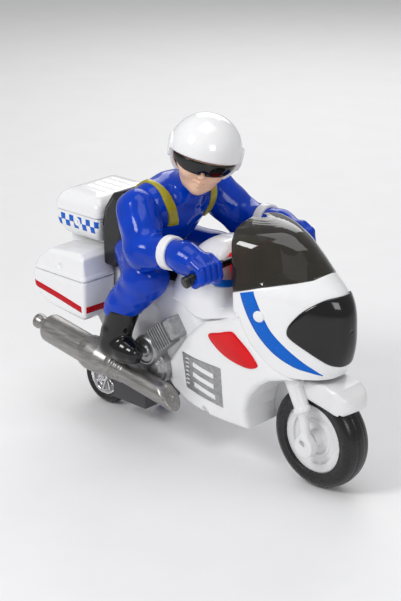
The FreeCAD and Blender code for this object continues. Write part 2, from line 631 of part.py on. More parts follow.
def make_engine():
    """Dummy engine: crankcase cover, stepped sump rings and a finned cylinder leaning forward."""
    pieces = [
        turned("engine_cover", [(0.001, 0), (8.8, 0), (8.8, 9.0), (7.4, 10.4), (6.4, 10.4), (6.4, 9.6), (3.0, 9.6),
                                (3.0, 10.4), (0.001, 10.4)], (-22.0, -17.0, 53.6), Rotation(Vector(1, 0, 0), 90)),
        turned("engine_sump", [(0.001, 0), (8.2, 0), (8.2, 6.0), (6.6, 6.0), (6.6, 7.2), (4.8, 7.2), (4.8, 8.2),
                               (0.001, 8.2)], (-17.0, -17.0, 44.0), Rotation(Vector(1, 0, 0), 90)),
    ]
    lean = Rotation(Vector(0, 1, 0), 52.0)
    along = lean.multVec(Vector(0, 0, 1))
    across = lean.multVec(Vector(1, 0, 0))
    foot = Vector(-19.5, -25.0, 57.5)
    core_at = foot - across * 5.0
    pieces.append(block("engine_core", tuple(core_at), 10.0, 12.0, 24.0, lean))
    for i in range(7):
        at = foot + along * (4.0 + 2.0 * i) - across * 6.6 + Vector(0, -1.2, 0)
        pieces.append(block(f"engine_fin_{i}", tuple(at), 13.2, 14.0, 1.0, lean))
    at = foot + along * 18.4 - across * 6.0 + Vector(0, -2.0, 0)
    pieces.append(block("engine_head", tuple(at), 12.0, 14.0, 7.0, lean))
    whole = fuse("engine_whole", *pieces)
    right = node(cut("engine_right", whole, body_outer), "engine_right")
    node(mirror("engine_left", right), "engine_left")
    return right


def make_exhaust(engine):
    """Silencer, collector and header pipe turned about one gently falling line."""
    profile = [(0.001, 0.0), (3.6, 0.0), (4.4, 1.0), (4.4, 3.0), (3.4, 6.0), (3.4, 8.0), (7.0, 10.6), (8.2, 12.4),
               (8.2, 43.0), (9.2, 44.0), (9.8, 48.0), (9.2, 55.0), (7.4, 63.0), (7.8, 64.0), (7.8, 66.4), (6.8, 67.0),
               (7.2, 69.4), (6.5, 70.4), (6.9, 72.8), (6.2, 74.0), (6.2, 116.0), (0.001, 116.0)]
    tilt = Rotation(Vector(0, 1, 0), 90 + size("pipe_tilt"))
    at = (-106.83, "-dims.pipe_y", 50.4)
    pipe = turned("exhaust_turned", profile, at, tilt)
    wedge = side_prism("exhaust_end", [(-8.0, 47.0), (6.4, 26.0), (30, 26.0), (30, 60), (-8, 60)])
    hollow = cylinder("exhaust_hole", (-109.0, "-dims.pipe_y", 50.73), 2.6, 8.0, tilt)
    right = node(cut("exhaust_right", pipe, hollow, wedge, body_outer, engine), "exhaust_right")
    node(mirror("exhaust_left", right), "exhaust_left")
    return right


engine = make_engine()
exhaust = make_exhaust(engine)


# ---------------------------------------------------------------- luggage and rack

def make_luggage():
    seam_z = size("bag_seam")
    side = [(-94.0, 71.0), (-88.0, 67.0), (-60.0, 63.0), (-56.5, 66.0), (-55.5, 86.0), (-58.5, 98.5), (-63.0, 101.0),
            (-86.0, 99.0), (-94.5, 92.5), (-99.0, 84.0), (-98.0, 76.0)]
    plan_trim = prism("bag_plan", "YZ_Plane", [(-38.0, 84.0), (-37.2, 66.0), (-35.0, 62.0), (-10.0, 60.0),
                                               (-10.0, 104.0), (-31.0, 104.0), (-35.5, 97.0)], 80, offset=-120)
    whole = common("bag_whole", prism("bag_block", "XZ_Plane", side, 30, offset=8.0), plan_trim)
    trimmed = cut("bag_trimmed", whole, block("bag_inside_limit", (-130, -13.6, 40), 100, 40, 100), body_outer)
    lower_half = block("bag_lower", (-130, -60, 40), 100, 60, seam_z - 40)
    hollow = block("bag_room", (-91.5, -35.0, 69.5), 32.5, 19.0, 60)
    hollow_lid = block("bag_lid_room", (-88.0, -32.0, 60), 27.0, 14.0, 36.5)
    tray = node(cut("saddlebag_right", common("bag_tray", trimmed, lower_half), hollow), "saddlebag_right")
    lid = node(cut("saddlebag_lid_right", cut("bag_lid", trimmed, lower_half), hollow_lid), "saddlebag_lid_right")
    node(mirror("saddlebag_left", tray), "saddlebag_left")
    node(mirror("saddlebag_lid_left", lid), "saddlebag_lid_left")

    deck = prism("rack_block", "YZ_Plane", [(-13.0, 90.5), (13.0, 90.5), (13.0, 101.2), (15.5, 103.0),
                                            (-15.5, 103.0), (-13.0, 101.2)], 29, offset=-92.5)
    rack_room = block("rack_room", (-90.0, -9.0, 95.0), 24, 18, 6.0)
    node(cut("luggage_rack", deck, rack_room, body_outer), "luggage_rack")

    box_seam = size("box_seam")
    lower = loft("top_box_block", "XY_Plane", [(103.0, rectangle(-88.0, -64.0, 17.0)),
                                               (108.0, rectangle(-92.5, -61.0, 21.0)),
                                               (box_seam, rectangle(-95.0, -59.5, 22.0))])
    lower.Tip.Ruled = True
    room = block("top_box_room", (-91.0, -18.5, 106.0), 28.0, 37.0, 30)
    node(cut("top_box", lower, room), "top_box")
    upper = loft("top_lid_block", "XY_Plane", [(box_seam, rectangle(-95.4, -59.2, 22.3)),
                                               (122.0, rectangle(-95.0, -59.4, 21.0)),
                                               (127.0, rectangle(-91.5, -62.5, 16.5)),
                                               (128.4, rectangle(-86.0, -66.0, 12.0))])
    upper.Tip.Ruled = True
    lid_room = block("top_lid_room", (-89.0, -15.0, 100.0), 24.0, 30.0, 24.5)
    ribs = fuse("top_lid_ribs", *[block(f"top_lid_rib_{i}", (-87.0, -9.8 + 6.0 * i, 126.0), 20.0, 1.6, 3.0)
                                  for i in range(4)])
    node(cut("top_box_lid", fuse("top_lid_ribbed", upper, ribs), lid_room), "top_box_lid")


def rectangle(x0, x1, half_width):
    """A rectangle symmetric about the mid-plane."""
    return [(x0, -half_width), (x1, -half_width), (x1, half_width), (x0, half_width)]


make_luggage()


# ---------------------------------------------------------------- saddle, dash and handlebar

def make_controls():
    saddle_block = side_prism("saddle_block", [(-61, 90), (-61, 93.5), (-40, 92.5), (-22, 93.5), (-13.5, 103),
                                               (-5.6, 105.5), (-9.4, 92.2), (-12, 90)], 11.5)
    saddle = node(cut("saddle", saddle_block, body_outer), "saddle")
    dash = loft("dash_block", "XY_Plane", [(101.0, [(28.5, -13.5), (44.0, -13.5), (44.0, 13.5), (28.5, 13.5)]),
                                           (112.0, [(27.0, -14.0), (41.0, -13.0), (41.0, 13.0), (27.0, 14.0)]),
                                           (118.5, [(28.5, -11.0), (36.0, -10.0), (36.0, 10.0), (28.5, 11.0)])])
    dash.Tip.Ruled = True
    bar_room = cylinder("dash_bar_room", (34.0, -30, 114.5), 2.0, 60)
    node(cut("dash_panel", dash, body_outer, bar_room), "dash_panel")
    bar = cylinder("bar_middle", (34.0, -24, 114.5), 2.0, 48)
    arms, grips = [], []
    for side, name in ((-1, "right"), (1, "left")):
        start, end = Vector(34.0, side * 23.0, 114.5), Vector(30.4, side * 46.4, 109.6)
        run = end - start
        arms.append(cylinder(f"bar_{name}", tuple(start), 1.9, run.Length, Rotation(Vector(0, 0, 1), run)))
        grip_at = start + run * 0.10
        grip = cylinder(f"grip_{name}_block", tuple(grip_at), 3.1, run.Length * 0.9,
                        Rotation(Vector(0, 0, 1), run))
        grips.append(grip)
    handlebar = node(fuse("handlebar", bar, *arms), "handlebar")
    for grip, name in zip(grips, ("right", "left")):
        node(cut(f"grip_{name}", grip, handlebar), f"grip_{name}")
    return saddle, handlebar


saddle, handlebar = make_controls()


# ---------------------------------------------------------------- rider

def make_rider():
    """A leaning rider in separate mouldings: trousers, boots, jacket, arms, cuffs, gloves and pack."""
    lean = Rotation(Vector(0, 1, 0), size("lean"))
    axis = lean.multVec(Vector(0, 0, 1))
    head = Vector(size("head_x"), 0, size("head_z"))
    sweep_foot = head - axis * 23.8
    head_room = fuse("head_room", cylinder("head_sweep", tuple(sweep_foot), 17.5, 60, lean),
                     cylinder("neck_socket", tuple(head - axis * 37.0), "4.0 + dims.axle_play", 20, lean))

    hips = limb("hips", [(-40, -7, 102, 12.5), (-40, 7, 102, 12.5)])
    legs = [limb("leg_right", [(-40, -12, 101, 12.5), (-18, -27, 95.5, 11.5), (-34, -30.5, 77, 10.0)]),
            limb("leg_left", [(-40, 12, 101, 12.5), (-18, 27, 95.5, 11.5), (-34, 30.5, 77, 10.0)])]
    boots = {}
    for side, name in ((-1, "right"), (1, "left")):
        boots[name] = fuse(f"boot_{name}_whole",
                           limb(f"boot_{name}_shaft", [(-33.0, side * 31.0, 74.5, 8.8), (-36.5, side * 34.0, 58, 7.8)]),
                           limb(f"boot_{name}_foot", [(-37.0, side * 35.0, 56, 7.4), (-24.5, side * 35.0, 55, 6.0)]))
    torso = fuse("torso_whole",
                 limb("spine", [(-38, 0, 116, 13.5), (-27, 0, 127, 15.0)]),
                 limb("ribs", [(-27, -7, 127, 14.0), (-27, 7, 127, 14.0)]),
                 limb("waist", [(-38, -4, 116, 13.0), (-38, 4, 116, 13.0)]),
                 limb("shoulders", [(-22, -17, 134, 10.0), (-22, 17, 134, 10.0)]),
                 limb("collar", [(-20, 0, 130, 13.0), (-8.5, 0, 138, 11.5)]))
    arms = {}
    for side, name in ((-1, "right"), (1, "left")):
        arms[name] = limb(f"arm_{name}_whole", [(-22, side * 27.0, 131.5, 11.8), (-8, side * 36.4, 115.5, 10.4),
                                                (6, side * 35.4, 117.6, 8.4)])
    hand_y = size("hand_y")
    cuffs, gloves = {}, {}
    for side, name in ((-1, "right"), (1, "left")):
        run = Vector(1, 0, 0.12)
        turn = Rotation(Vector(0, 0, 1), run)
        cuffs[name] = cylinder(f"cuff_{name}_ring", (7.6, side * hand_y, 118.0), 8.0, 5.6, turn)
        gloves[name] = fuse(f"glove_{name}_whole",
                            limb(f"glove_{name}_wrist", [(9.0, side * hand_y, 118.2, 6.2),
                                                         (27.0, side * hand_y, 117.8, 6.6)]),
                            limb(f"glove_{name}_fist", [(33.5, side * hand_y, 118.0, 7.8),
                                                        (35.0, side * hand_y, 112.5, 7.4)]))

    jacket = node(cut("rider_jacket", torso, head_room, saddle, body_outer), "rider_jacket")
    trousers = cut("rider_trousers", fuse("trousers_whole", hips, *legs), jacket, saddle, body_outer, LUGGAGE_ROOM,
                   boots["right"], boots["left"])
    node(trousers, "rider_trousers")
    arm_nodes = []
    for name in ("right", "left"):
        bar_parts = [handlebar] + [g for g in doc.Objects if g.Label == f"grip_{name}"]
        boot = cut(f"boot_{name}", boots[name], EXHAUSTS[name], ENGINES[name], body_outer)
        node(boot, f"boot_{name}")
        arm = node(cut(f"arm_{name}", arms[name], jacket, trousers), f"arm_{name}")
        arm_nodes.append(arm)
        glove = node(cut(f"glove_{name}", gloves[name], arm, *bar_parts), f"glove_{name}")
        node(cut(f"cuff_{name}", cuffs[name], arm, glove), f"cuff_{name}")

    pack_side = [(-58.6, 92.0), (-58.8, 112.0), (-55.0, 126.0), (-48.0, 133.0), (-40.0, 135.5), (-39.0, 130.0),
                 (-48.5, 118.0), (-50.0, 106.0), (-51.0, 96.0), (-53.0, 91.5)]
    pack = common("pack_rounded", side_prism("pack_block", pack_side, 20.0),
                  limb("pack_bulk", [(-46, 0, 104, 23.5), (-40, 0, 120, 24.5)]))
    lid_rooms = [block("pack_lid_room_right", (-70, -40, 80), 13.6, 26.6, 19.2),
                 block("pack_lid_room_left", (-70, 13.4, 80), 13.6, 26.6, 19.2)]
    node(cut("backpack", pack, jacket, trousers, saddle, *arm_nodes, *lid_rooms), "backpack")

    skin = fuse("strap_outer", limb("strap_ribs", [(-27, -7, 127, 15.0), (-27, 7, 127, 15.0)]),
                limb("strap_shoulders", [(-22, -17, 134, 11.0), (-22, 17, 134, 11.0)]))
    bands = fuse("strap_bands", block("strap_band_right", (-30, -16.5, 118), 50, 5.0, 50),
                 block("strap_band_left", (-30, 11.5, 118), 50, 5.0, 50))
    straps = cut("straps_cut", common("straps_banded", skin, bands), torso, head_room)
    node(cut("pack_straps", straps, pack, *arm_nodes), "pack_straps")
    return axis, head


ENGINES = {"right": engine, "left": next(o for o in NODES if o.Label == "engine_left")}
EXHAUSTS = {"right": exhaust, "left": next(o for o in NODES if o.Label == "exhaust_left")}
LUGGAGE_ROOM = fuse("luggage_room", *[o for o in NODES if o.Label.startswith(("saddlebag", "luggage"))])

neck_axis, head_centre = make_rider()


# ---------------------------------------------------------------- head

def make_head(axis, centre):
    """Face, helmet, ear discs and sunglasses, made facing +X and then turned on the neck."""
    turn = Rotation(axis, size("head_turn")) * Rotation(Vector(0, 1, 0), size("lean"))

    def settle(obj):
        obj.Placement = Placement(centre, turn)
        return obj

    skull = fuse("skull", sphere("skull_top", (0.4, 0, -0.6), 15.6),
                 limb("jaw", [(2.2, 0, -3, 14.6), (4.8, 0, -12.2, 10.6)]),
                 limb("nose", [(15.4, 0, -4.0, 1.5), (16.6, 0, -6.8, 2.0)]))
    neck = cylinder("neck", (-1.0, 0, -30), 8.6, 16, "z")
    peg = cylinder("neck_peg", (0, 0, -35.8), 4.0, 16, "z")
    neck_clear = cylinder("neck_clear", (0, 0, -40), 30, 16.6, "z")
    head_whole = fuse("head_whole", skull, neck)
    helmet_shell = sphere("helmet_ball", (0, 0, 0), "dims.helmet_r + 0.4")
    helmet_room = sphere("helmet_room", (0, 0, 0), "dims.helmet_r - 1.8")
    helmet_foot = block("helmet_foot", (-40, -40, -60), 80, 80, 46.5)
    face_gap = prism("helmet_face_gap", "XZ_Plane", [(2.0, -30), (5.5, -1.2), (30, 6.6), (30, -30)], 80,
                     both_ways=True)
    ears = fuse("helmet_ears", cylinder("helmet_ear_right", (0.5, -20.0, -1.0), 6.2, 4.0),
                cylinder("helmet_ear_left", (0.5, 16.0, -1.0), 6.2, 4.0))
    helmet_raw = cut("helmet_raw", fuse("helmet_eared", helmet_shell, ears), helmet_room, helmet_foot, face_gap)
    glasses_band = cut("glasses_band", sphere("glasses_out", (1.4, 0, -1.5), 17.3),
                       sphere("glasses_in", (1.4, 0, -1.5), 16.1))
    glasses_shape = prism("glasses_shape", "XZ_Plane", [(7.2, -1.3), (22, 3.3), (22, -4.8), (14, -5.3),
                                                        (7.2, -3.0)], 80, both_ways=True)
    glasses_raw = cut("glasses_raw", common("glasses_cut", glasses_band, glasses_shape), helmet_raw)
    face_raw = fuse("face_raw", cut("face_cut", head_whole, neck_clear), peg)
    node(settle(cut("rider_head", face_raw, helmet_raw, glasses_raw)), "rider_head")
    node(settle(copy_of("helmet", helmet_raw)), "helmet")
    node(settle(copy_of("sunglasses", glasses_raw)), "sunglasses")


def copy_of(name, source):
    """A piece of its own that follows the shape of another object."""
    obj = doc.addObject("Part::Refine", name)
    obj.Source = source
    return obj


make_head(neck_axis, head_centre)


# ---------------------------------------------------------------- checks and files

def write_parts():
    """Check every object, then write one STEP file for each node."""
    doc.recompute()
    for obj in doc.Objects:
        bad = [state for state in obj.State if state in ("Invalid", "Error")]
        if bad:
            raise RuntimeError(f"{obj.Name} is {bad}")
    for obj in NODES:
        shape = obj.Shape
        if shape.isNull() or not shape.isValid() or not shape.Solids:
            raise RuntimeError(f"{obj.Label} has no valid solid")
    os.makedirs("parts", exist_ok=True)
    for obj in NODES:
        obj.Shape.exportStep(f"parts/{obj.Label}.step")
        box = obj.Shape.BoundBox
        print(f"{obj.Label:22s} {len(obj.Shape.Solids)} solids {obj.Shape.Volume:9.1f} mm3  "
              f"x {box.XMin:7.2f} {box.XMax:7.2f}  y {box.YMin:7.2f} {box.YMax:7.2f}  "
              f"z {box.ZMin:7.2f} {box.ZMax:7.2f}")


write_parts()
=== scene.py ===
"""Looks of a toy patrol motorcycle with its rider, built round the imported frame.

Shapes are written in millimetres in the frame's own axes: +X forward, +Y the bike's left, +Z up.
Curved mouldings are distance fields (negative inside) turned into quads by a level set.
"""
import functools
import json
import math

import bpy
import numpy as np
import openvdb
from mathutils import Matrix, Vector

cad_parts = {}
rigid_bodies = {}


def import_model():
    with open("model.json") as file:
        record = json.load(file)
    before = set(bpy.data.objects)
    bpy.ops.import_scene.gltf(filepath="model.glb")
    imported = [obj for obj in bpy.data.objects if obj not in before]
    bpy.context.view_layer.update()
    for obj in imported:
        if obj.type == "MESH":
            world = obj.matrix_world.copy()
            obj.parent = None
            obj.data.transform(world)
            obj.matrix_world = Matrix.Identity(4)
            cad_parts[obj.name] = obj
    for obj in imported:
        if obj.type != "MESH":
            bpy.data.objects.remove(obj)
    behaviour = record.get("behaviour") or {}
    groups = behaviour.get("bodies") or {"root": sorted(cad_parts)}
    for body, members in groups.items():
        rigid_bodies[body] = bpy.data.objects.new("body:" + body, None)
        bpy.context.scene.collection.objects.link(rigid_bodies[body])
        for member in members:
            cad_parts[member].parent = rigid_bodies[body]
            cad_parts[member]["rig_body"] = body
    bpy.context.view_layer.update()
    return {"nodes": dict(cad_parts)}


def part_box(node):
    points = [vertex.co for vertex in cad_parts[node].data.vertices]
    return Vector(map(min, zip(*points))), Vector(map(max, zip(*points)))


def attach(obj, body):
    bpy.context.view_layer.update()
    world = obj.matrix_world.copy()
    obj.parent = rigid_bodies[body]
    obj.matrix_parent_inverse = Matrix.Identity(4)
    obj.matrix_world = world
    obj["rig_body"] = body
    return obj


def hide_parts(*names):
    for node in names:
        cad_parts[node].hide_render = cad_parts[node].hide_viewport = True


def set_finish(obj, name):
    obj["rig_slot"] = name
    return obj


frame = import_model()

MM = 0.001
COARSE = 1.0
WIDE = 60.0      # past either side of the bike
SIDES = ((-1, "right"), (1, "left"))
ALONG_Y = (0, 1, 0)
BACKWARD = (-1, 0, 0)

# ---------------------------------------------------------------- places taken from the frame


def wheel_centre(axle):
    """Where an axle crosses the bike's middle plane, in millimetres."""
    low, high = (np.array(corner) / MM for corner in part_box(axle))
    return ((low[0] + high[0]) / 2, 0.0, (low[2] + high[2]) / 2)


FRONT_WHEEL = wheel_centre("front_axle_pin")
REAR_WHEEL = wheel_centre("rear_axle")
NECK_LEAN = math.radians(22.0)
HEAD_TURN = math.radians(-45.0)
HEAD_AT = np.array([1.0, 0.0, 163.0])


# ---------------------------------------------------------------- distance fields

def length(*parts):
    return np.sqrt(sum(part * part for part in parts))


def ball(at, radius):
    return lambda x, y, z: length(x - at[0], y - at[1], z - at[2]) - radius


def egg(at, radii):
    """An ellipsoid, with its distance near the surface."""
    def field(x, y, z):
        u, v, w = (x - at[0]) / radii[0], (y - at[1]) / radii[1], (z - at[2]) / radii[2]
        near = length(u, v, w)
        slope = length(u / radii[0], v / radii[1], w / radii[2])
        return near * (near - 1.0) / np.maximum(slope, 1e-6)
    return field


def rod(start, end, radius, end_radius=None):
    """A round-ended bar between two points whose radius may change on the way."""
    start, end = np.array(start, float), np.array(end, float)
    run = end - start
    last = radius if end_radius is None else end_radius
    span = float(run @ run)

    def field(x, y, z):
        px, py, pz = x - start[0], y - start[1], z - start[2]
        share = np.clip((px * run[0] + py * run[1] + pz * run[2]) / span, 0.0, 1.0)
        return (length(px - share * run[0], py - share * run[1],
                       pz - share * run[2]) - (radius + share * (last - radius)))
    return field


def limb(joints, soft=3.0):
    """Round-ended bars through (x, y, z, radius) joints, melted together."""
    bars = [rod(a[:3], b[:3], a[3], b[3]) for a, b in zip(joints, joints[1:])]
    return join(*bars, soft=soft)


def past_faces(*gaps):
    """Distance to a corner, from how far a point is past each of the faces that make it."""
    outside = length(*(np.maximum(gap, 0) for gap in gaps))
    return outside + np.minimum(functools.reduce(np.maximum, gaps), 0)


def brick(at, half, edge=0.6):
    """A box about a centre with rounded edges."""
    def field(x, y, z):
        u = np.abs(x - at[0]) - (half[0] - edge)
        v = np.abs(y - at[1]) - (half[1] - edge)
        w = np.abs(z - at[2]) - (half[2] - edge)
        return past_faces(u, v, w) - edge
    return field


def polygon(points):
    """Distance in a plane to a closed outline."""
    points = np.array(points, float)
    ends = np.roll(points, -1, axis=0)

    def field(u, v):
        near = np.full(np.broadcast(u, v).shape, 1e9)
        inside = np.zeros(near.shape, bool)
        for (ax, ay), (bx, by) in zip(points, ends):
            ex, ey = bx - ax, by - ay
            px, py = u - ax, v - ay
            share = np.clip((px * ex + py * ey) / (ex * ex + ey * ey), 0.0, 1.0)
            near = np.minimum(near, (px - share * ex) ** 2 + (py - share * ey) ** 2)
            if ay != by:
                crosses = (ay > v) != (by > v)
                inside ^= crosses & (u < ex * (v - ay) / ey + ax)
        return np.sqrt(near) * np.where(inside, -1.0, 1.0)
    return field


def slab(points, across, low, high, edge=0.6):
    """An outline carried along one axis: across "y" reads (x, z), "x" reads (y, z), "z" reads (x, y)."""
    flat = polygon(points)
    middle, half = (low + high) / 2, (high - low) / 2

    def field(x, y, z):
        u, v, w = {"y": (x, z, y), "x": (y, z, x), "z": (x, y, z)}[across]
        side = flat(u, v) + edge
        end = np.abs(w - middle) - half + edge
        return past_faces(side, end) - edge
    return field


def side_slab(points, edge=0.1):
    """A side outline of (x, z) points carried right across the bike."""
    return slab(points, "y", -WIDE, WIDE, edge)


def lathe(profile, at, axis):
    """An outline of (radius, height) points turned about an axis through at."""
    axis = np.array(axis, float) / np.linalg.norm(axis)
    flat = polygon(profile)

    def field(x, y, z):
        px, py, pz = x - at[0], y - at[1], z - at[2]
        along = px * axis[0] + py * axis[1] + pz * axis[2]
        away = np.sqrt(np.maximum(px * px + py * py + pz * pz - along * along, 0.0))
        return flat(away, along)
    return field


def turned(field, at, turn):
    """A field drawn about the origin, turned by a matrix and carried to a point."""
    back = np.array(turn).T

    def placed(x, y, z):
        px, py, pz = x - at[0], y - at[1], z - at[2]
        return field(*(row[0] * px + row[1] * py + row[2] * pz for row in back))
    return placed


def soft_min(a, b, soft):
    """The smaller of two distances, blended where they differ by less than soft."""
    if soft <= 0:
        return np.minimum(a, b)
    share = np.clip(0.5 + 0.5 * (b - a) / soft, 0.0, 1.0)
    return b + (a - b) * share - soft * share * (1.0 - share)


def join(*fields, soft=0.0):
    """All the fields together; soft fills the corners between them."""
    def field(x, y, z):
        total = fields[0](x, y, z)
        for other in fields[1:]:
            total = soft_min(total, other(x, y, z), soft)
        return total
    return field


def inverse(field):
    return lambda x, y, z: -field(x, y, z)


def meet(*fields, soft=0.0):
    """What every field shares; soft rounds the edges between them."""
    return inverse(join(*map(inverse, fields), soft=soft))


def less(base, *tools, soft=0.0):
    """base with every tool taken away; soft rounds the edge that is left."""
    return inverse(join(inverse(base), *tools, soft=soft))


def grown(field, by):
    """A field moved outwards, or inwards where by is negative."""
    return lambda x, y, z: field(x, y, z) - by


def half_space(normal, offset):
    """Everything behind a plane."""
    normal = np.array(normal, float) / np.linalg.norm(normal)
    return lambda x, y, z: normal[0] * x + normal[1] * y + normal[2] * z - offset


def between(low, high):
    """Everything between two heights."""
    return lambda x, y, z: np.maximum(low - z, z - high) + 0 * x + 0 * y


def true_distance(field, reach=0.05):
    """Rescale a field that is only zero in the right place, so that its steps are in millimetres."""
    def scaled(x, y, z):
        value = field(x, y, z)
        slope = length((field(x + reach, y, z) - value) / reach, (field(x, y + reach, z) - value) / reach,
                       (field(x, y, z + reach) - value) / reach)
        return value / np.maximum(slope, 1e-3)
    return scaled


def spline(knots, values):
    """A smooth curve through the values at the knots, held flat past either end."""
    knots, values = np.array(knots, float), np.array(values, float)
    steps = np.diff(knots)
    rates = np.diff(values) / steps
    slopes = np.concatenate([[rates[0]], (rates[:-1] + rates[1:]) / 2, [rates[-1]]])
    slopes[1:-1][rates[:-1] * rates[1:] <= 0] = 0.0

    def curve(t):
        t = np.clip(t, knots[0], knots[-1])
        i = np.clip(np.searchsorted(knots, t, side="right") - 1, 0, len(steps) - 1)
        s = (t - knots[i]) / steps[i]
        a, b = values[i], values[i + 1]
        da, db = slopes[i] * steps[i], slopes[i + 1] * steps[i]
        return (a * (1 + 2 * s) * (1 - s) ** 2 + da * s * (1 - s) ** 2 + b * s * s * (3 - 2 * s) + db * s * s *
                (s - 1))
    return curve


def rounded(points, steps=6):
    """A closed smooth outline through a few points."""
    points = np.array(points, float)
    count = len(points)
    result = []
    for i in range(count):
        p0, p1, p2, p3 = (points[(i + k) % count] for k in (-1, 0, 1, 2))
        for s in np.arange(steps) / steps:
            result.append(0.5 * (2 * p1 + (p2 - p0) * s + (2 * p0 - 5 * p1 + 4 * p2 - p3) * s * s +
                                 (3 * p1 - p0 - 3 * p2 + p3) * s ** 3))
    return np.array(result)


def circle(at, radius, count=32):
    """Points round a circle in a plane."""
    turns = np.arange(count) * 2 * math.pi / count
    return [(at[0] + radius * math.cos(turn), at[1] + radius * math.sin(turn)) for turn in turns]


# ---------------------------------------------------------------- meshes

def linked(name, data):
    obj = bpy.data.objects.new(name, data)
    bpy.context.scene.collection.objects.link(obj)
    return obj


def declare(obj, slot, stands_for, body):
    """Say which body a piece rides on, its material slot and the CAD node that it stands for."""
    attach(obj, body)
    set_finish(obj, slot)
    if stands_for:
        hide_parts(stands_for)
    return obj


def new_object(name, points, faces, material, stands_for=None, body="frame", slot=None):
    """A mesh piece from points in millimetres."""
    mesh = bpy.data.meshes.new(name)
    mesh.from_pydata((np.asarray(points, float) * MM).tolist(), [], [list(map(int, f)) for f in faces])
    mesh.validate()
    mesh.update()
    mesh.shade_smooth()
    mesh.materials.append(material)
    named = plain_name(material)
    slot = slot or SLOT_OF.get(named, named)
    return declare(linked(name, mesh), slot, stands_for, body)


def quads_of(field, low, high, step):
    """Points and outward quads of a field's surface inside a box."""
    step = step * COARSE
    low = np.array(low, float) - 2 * step
    counts = [int(math.ceil((h + 2 * step - a) / step)) + 1 for a, h in zip(low, high)]
    axes = [a + step * np.arange(n) for a, n in zip(low, counts)]
    x, y, z = axes[0][:, None, None], axes[1][None, :, None], axes[2][None, None, :]
    values = np.broadcast_to(field(x, y, z), counts)
    values = np.clip(values, -3 * step, 3 * step).astype(np.float32)
    grid = openvdb.FloatGrid(3 * step)
    grid.copyFromArray(np.ascontiguousarray(values))
    points, quads = grid.convertToQuads()
    points = low + points.astype(float) * step
    corners = points[quads]
    volume = np.einsum("ij,ij->i", corners[:, 0], np.cross(corners[:, 1], corners[:, 2])).sum() + \
        np.einsum("ij,ij->i", corners[:, 0], np.cross(corners[:, 2], corners[:, 3])).sum()
    return points, quads if volume > 0 else quads[:, ::-1]


def moulded(name, field, box, step, material, **said):
    """A piece made from a distance field inside a box, in quads about step millimetres across."""
    points, quads = quads_of(field, *box, step)
    return new_object(name, points, quads, material, **said)


def mirrored(obj, name, stands_for):
    """The left-hand twin of a right-hand piece."""
    mesh = obj.data.copy()
    mesh.transform(Matrix.Scale(-1, 4, (0, 1, 0)))
    mesh.flip_normals()
    mesh.name = name
    return declare(linked(name, mesh), obj["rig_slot"], stands_for, obj["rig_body"])


def both_sides(make, name, *how, stands_for="", **said):
    """A right-hand piece and its left-hand twin; {} in a name stands for the side."""
    right = make(name.format("right"), *how, stands_for=stands_for.format("right"), **said)
    mirrored(right, name.format("left"), stands_for.format("left"))


def onto(field, points, direction, reach=60.0):
    """Where lines from the points along a direction first meet a field's surface, with the normals."""
    points = np.array(points, float)
    direction = np.array(direction, float) / np.linalg.norm(direction)
    near, far = np.zeros(len(points)), np.full(len(points), np.nan)
    before = field(*points.T)
    for travel in np.linspace(0.0, reach, 121)[1:]:
        now = field(*(points + direction * travel).T)
        fresh = np.isnan(far) & (before > 0) & (now <= 0)
        far[fresh] = travel
        near[np.isnan(far)] = travel
        before = now
    far = np.where(np.isnan(far), near, far)
    for _ in range(24):
        middle = (near + far) / 2
        outside = field(*(points + direction * middle[:, None]).T) > 0
        near, far = np.where(outside, middle, near), np.where(outside, far, middle)
    landed = points + direction * far[:, None]
    tiny = 0.08
    here = field(*landed.T)
    slope = np.stack([field(*(landed + tiny * step).T) - here for step in np.eye(3)], axis=1)
    return landed, slope / np.maximum(np.linalg.norm(slope, axis=1, keepdims=True), 1e-9)


INK_SINK, INK_RISE = 0.05, 0.08
COVER_SINK = 0.4


def plate_mesh(rows, top_rows, wrap=False):
    """Points and faces of a closed plate between two grids of points."""
    rows, top_rows = np.array(rows), np.array(top_rows)
    count, width = rows.shape[:2]
    points = np.concatenate([rows.reshape(-1, 3), top_rows.reshape(-1, 3)])
    lift = count * width
    faces = []
    spans = width if wrap else width - 1
    for i in range(count - 1):
        for j in range(spans):
            k = (j + 1) % width
            a, b, c, d = i * width + j, i * width + k, (i + 1) * width + k, (i + 1) * width + j
            faces += [(a, b, c, d), (d + lift, c + lift, b + lift, a + lift)]
    for j in range(spans):
        k = (j + 1) % width
        faces.append((j, j + lift, k + lift, k))
        a, b = (count - 1) * width + j, (count - 1) * width + k
        faces.append((a, b, b + lift, a + lift))
    if not wrap:
        for i in range(count - 1):
            a, b = i * width, (i + 1) * width
            faces.append((a, b, b + lift, a + lift))
            a, b = i * width + width - 1, (i + 1) * width + width - 1
            faces.append((b, a, a + lift, b + lift))
    return points, faces


def outward(points, faces):
    """Flip every face if the closed mesh is inside out."""
    total = 0.0
    for face in faces:
        corners = points[list(face)]
        for i in range(1, len(face) - 1):
            total += float(np.dot(corners[0], np.cross(corners[i], corners[i + 1])))
    return faces if total > 0 else [tuple(reversed(face)) for face in faces]


def ribbon(name, field, low_edge, high_edge, lay, direction, material, steps=40, rows=6, **said):
    """A printed stripe between two edge curves, laid on a surface. lay turns (u, v) into a start point."""
    low_edge, high_edge = rail(low_edge, steps), rail(high_edge, steps)
    grid = [low_edge + (high_edge - low_edge) * share for share in np.linspace(0, 1, rows)]
    starts = np.array([[lay(u, v) for u, v in line] for line in grid])
    landed, normals = onto(field, starts.reshape(-1, 3), direction)
    bottom = (landed - normals * INK_SINK).reshape(rows, steps, 3)
    top = (landed + normals * INK_RISE).reshape(rows, steps, 3)
    points, faces = plate_mesh(bottom, top)
    return new_object(name, points, outward(points, faces), material, **said)


